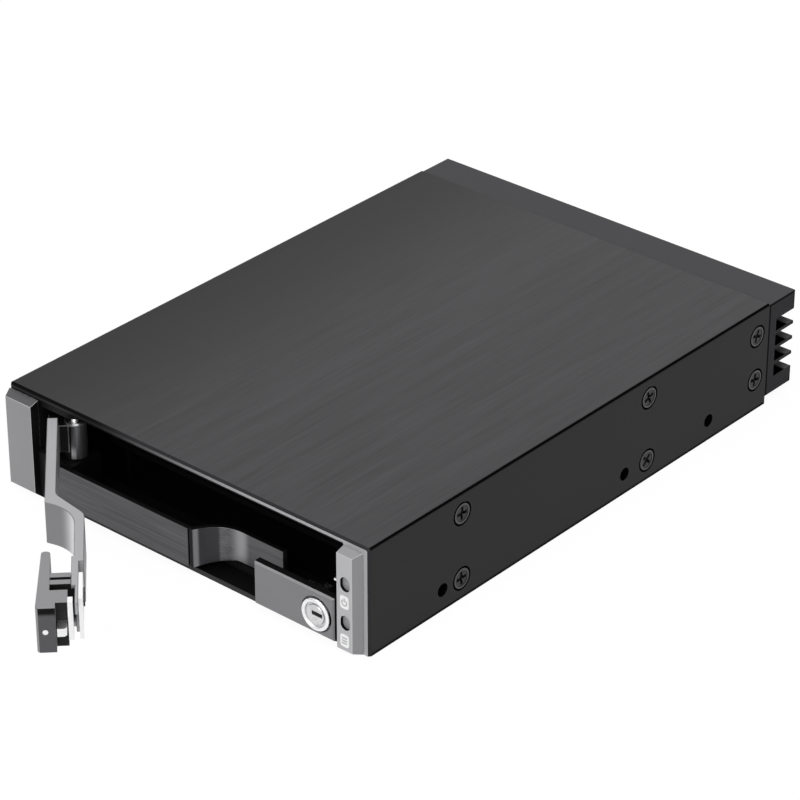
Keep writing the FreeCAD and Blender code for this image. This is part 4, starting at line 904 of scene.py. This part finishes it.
# Studio: a pale floor under soft lamps, with white behind everything that the camera sees.
# The floor keeps the object's own soft shadow.

floor_reach, floor_drop = 3.0, -0.1 * MM
floor_mesh = bpy.data.meshes.new("floor")
floor_mesh.from_pydata(
    [(right * floor_reach, back * floor_reach, floor_drop)
     for right, back in ((-1, -1), (1, -1), (1, 1), (-1, 1))], [], [(0, 1, 2, 3)])
floor = bpy.data.objects.new("floor", floor_mesh)
bpy.context.scene.collection.objects.link(floor)
# Matte white paint: even and pale, and white to the camera except where the shadow lies.
floor_finish, floor_tree, floor_shader, _ = blank_material(
    "pale studio floor", Base_Color=linear("#f0f0f0"), Roughness=0.7)
glow_strength, mirror_share, glow_share = 1.03, 0.6, 0.92
seen = add(floor_tree, "ShaderNodeLightPath")
glow = add(floor_tree, "ShaderNodeEmission", {"Color": (1, 1, 1, 1), "Strength": glow_strength})
mirrored = add(floor_tree, "ShaderNodeMath", {0: seen.outputs["Is Glossy Ray"], 1: mirror_share},
               operation="MULTIPLY")
watched = add(floor_tree, "ShaderNodeMath", {
    0: seen.outputs["Is Camera Ray"], 1: mirrored.outputs[0]}, operation="MAXIMUM")
share = add(floor_tree, "ShaderNodeMath", {0: watched.outputs[0], 1: glow_share},
            operation="MULTIPLY")
floor_mix = add(floor_tree, "ShaderNodeMixShader", {
    "Fac": share.outputs[0], 1: floor_shader.outputs[0], 2: glow.outputs[0]})
floor_tree.links.new(floor_mix.outputs[0], floor_tree.nodes["Material Output"].inputs["Surface"])
floor_mesh.materials.append(floor_finish)

world = bpy.data.worlds.new("studio")
world.use_nodes = True
bpy.context.scene.world = world
sky = world.node_tree
fill_strength, shown_strength = 0.3, 1.0
rays = add(sky, "ShaderNodeLightPath")
direct = add(sky, "ShaderNodeMath", {
    0: rays.outputs["Is Camera Ray"], 1: rays.outputs["Is Transmission Ray"]}, operation="MAXIMUM")
shown = add(sky, "ShaderNodeMath", {0: direct.outputs[0], 1: rays.outputs["Is Glossy Ray"]},
            operation="MAXIMUM")
strength = add(sky, "ShaderNodeMapRange", {
    "Value": shown.outputs[0], "To Min": fill_strength, "To Max": shown_strength})
sky.nodes["Background"].inputs["Color"].default_value = (1, 1, 1, 1)
sky.links.new(strength.outputs["Result"], sky.nodes["Background"].inputs["Strength"])


def softbox(name, place, aim, width, height, watts):
    """A soft rectangular lamp that looks at a point."""
    lamp = bpy.data.lights.new(name, "AREA")
    lamp.shape = "RECTANGLE"
    lamp.size = width
    lamp.size_y = height
    lamp.energy = watts
    holder = bpy.data.objects.new(name, lamp)
    holder.location = place
    holder.rotation_euler = (Vector(aim) - Vector(place)).to_track_quat("-Z", "Y").to_euler()
    bpy.context.scene.collection.objects.link(holder)


softbox("overhead softbox", (0.1, -0.15, 0.9), (0, 0, 0), 0.9, 0.9, 5.0)
softbox("front softbox", (0.15, -0.68, 0.4), (0.02, -0.06, 0.01), 0.45, 0.35, 2.2)
softbox("back softbox", (-0.5, 0.62, 0.5), (0.03, 0.02, 0.025), 0.3, 0.3, 0.1)

# Camera: the photograph's viewing angle from the front right and above, with a long lens.
# It aims a little beside the middle of the part, as the photograph's framing does.

scene = bpy.context.scene
scene.view_settings.view_transform = "Standard"
lens = bpy.data.cameras.new("camera")
lens.sensor_width = 36.0
lens.lens = 157.3
camera = bpy.data.objects.new("camera", lens)
camera.location = (0.4333, -0.49865, 0.3918)
aim = Vector((0.00256, -0.002, 0.0127))
camera.rotation_euler = (aim - camera.location).to_track_quat("-Z", "Y").to_euler()
scene.collection.objects.link(camera)
scene.camera = camera
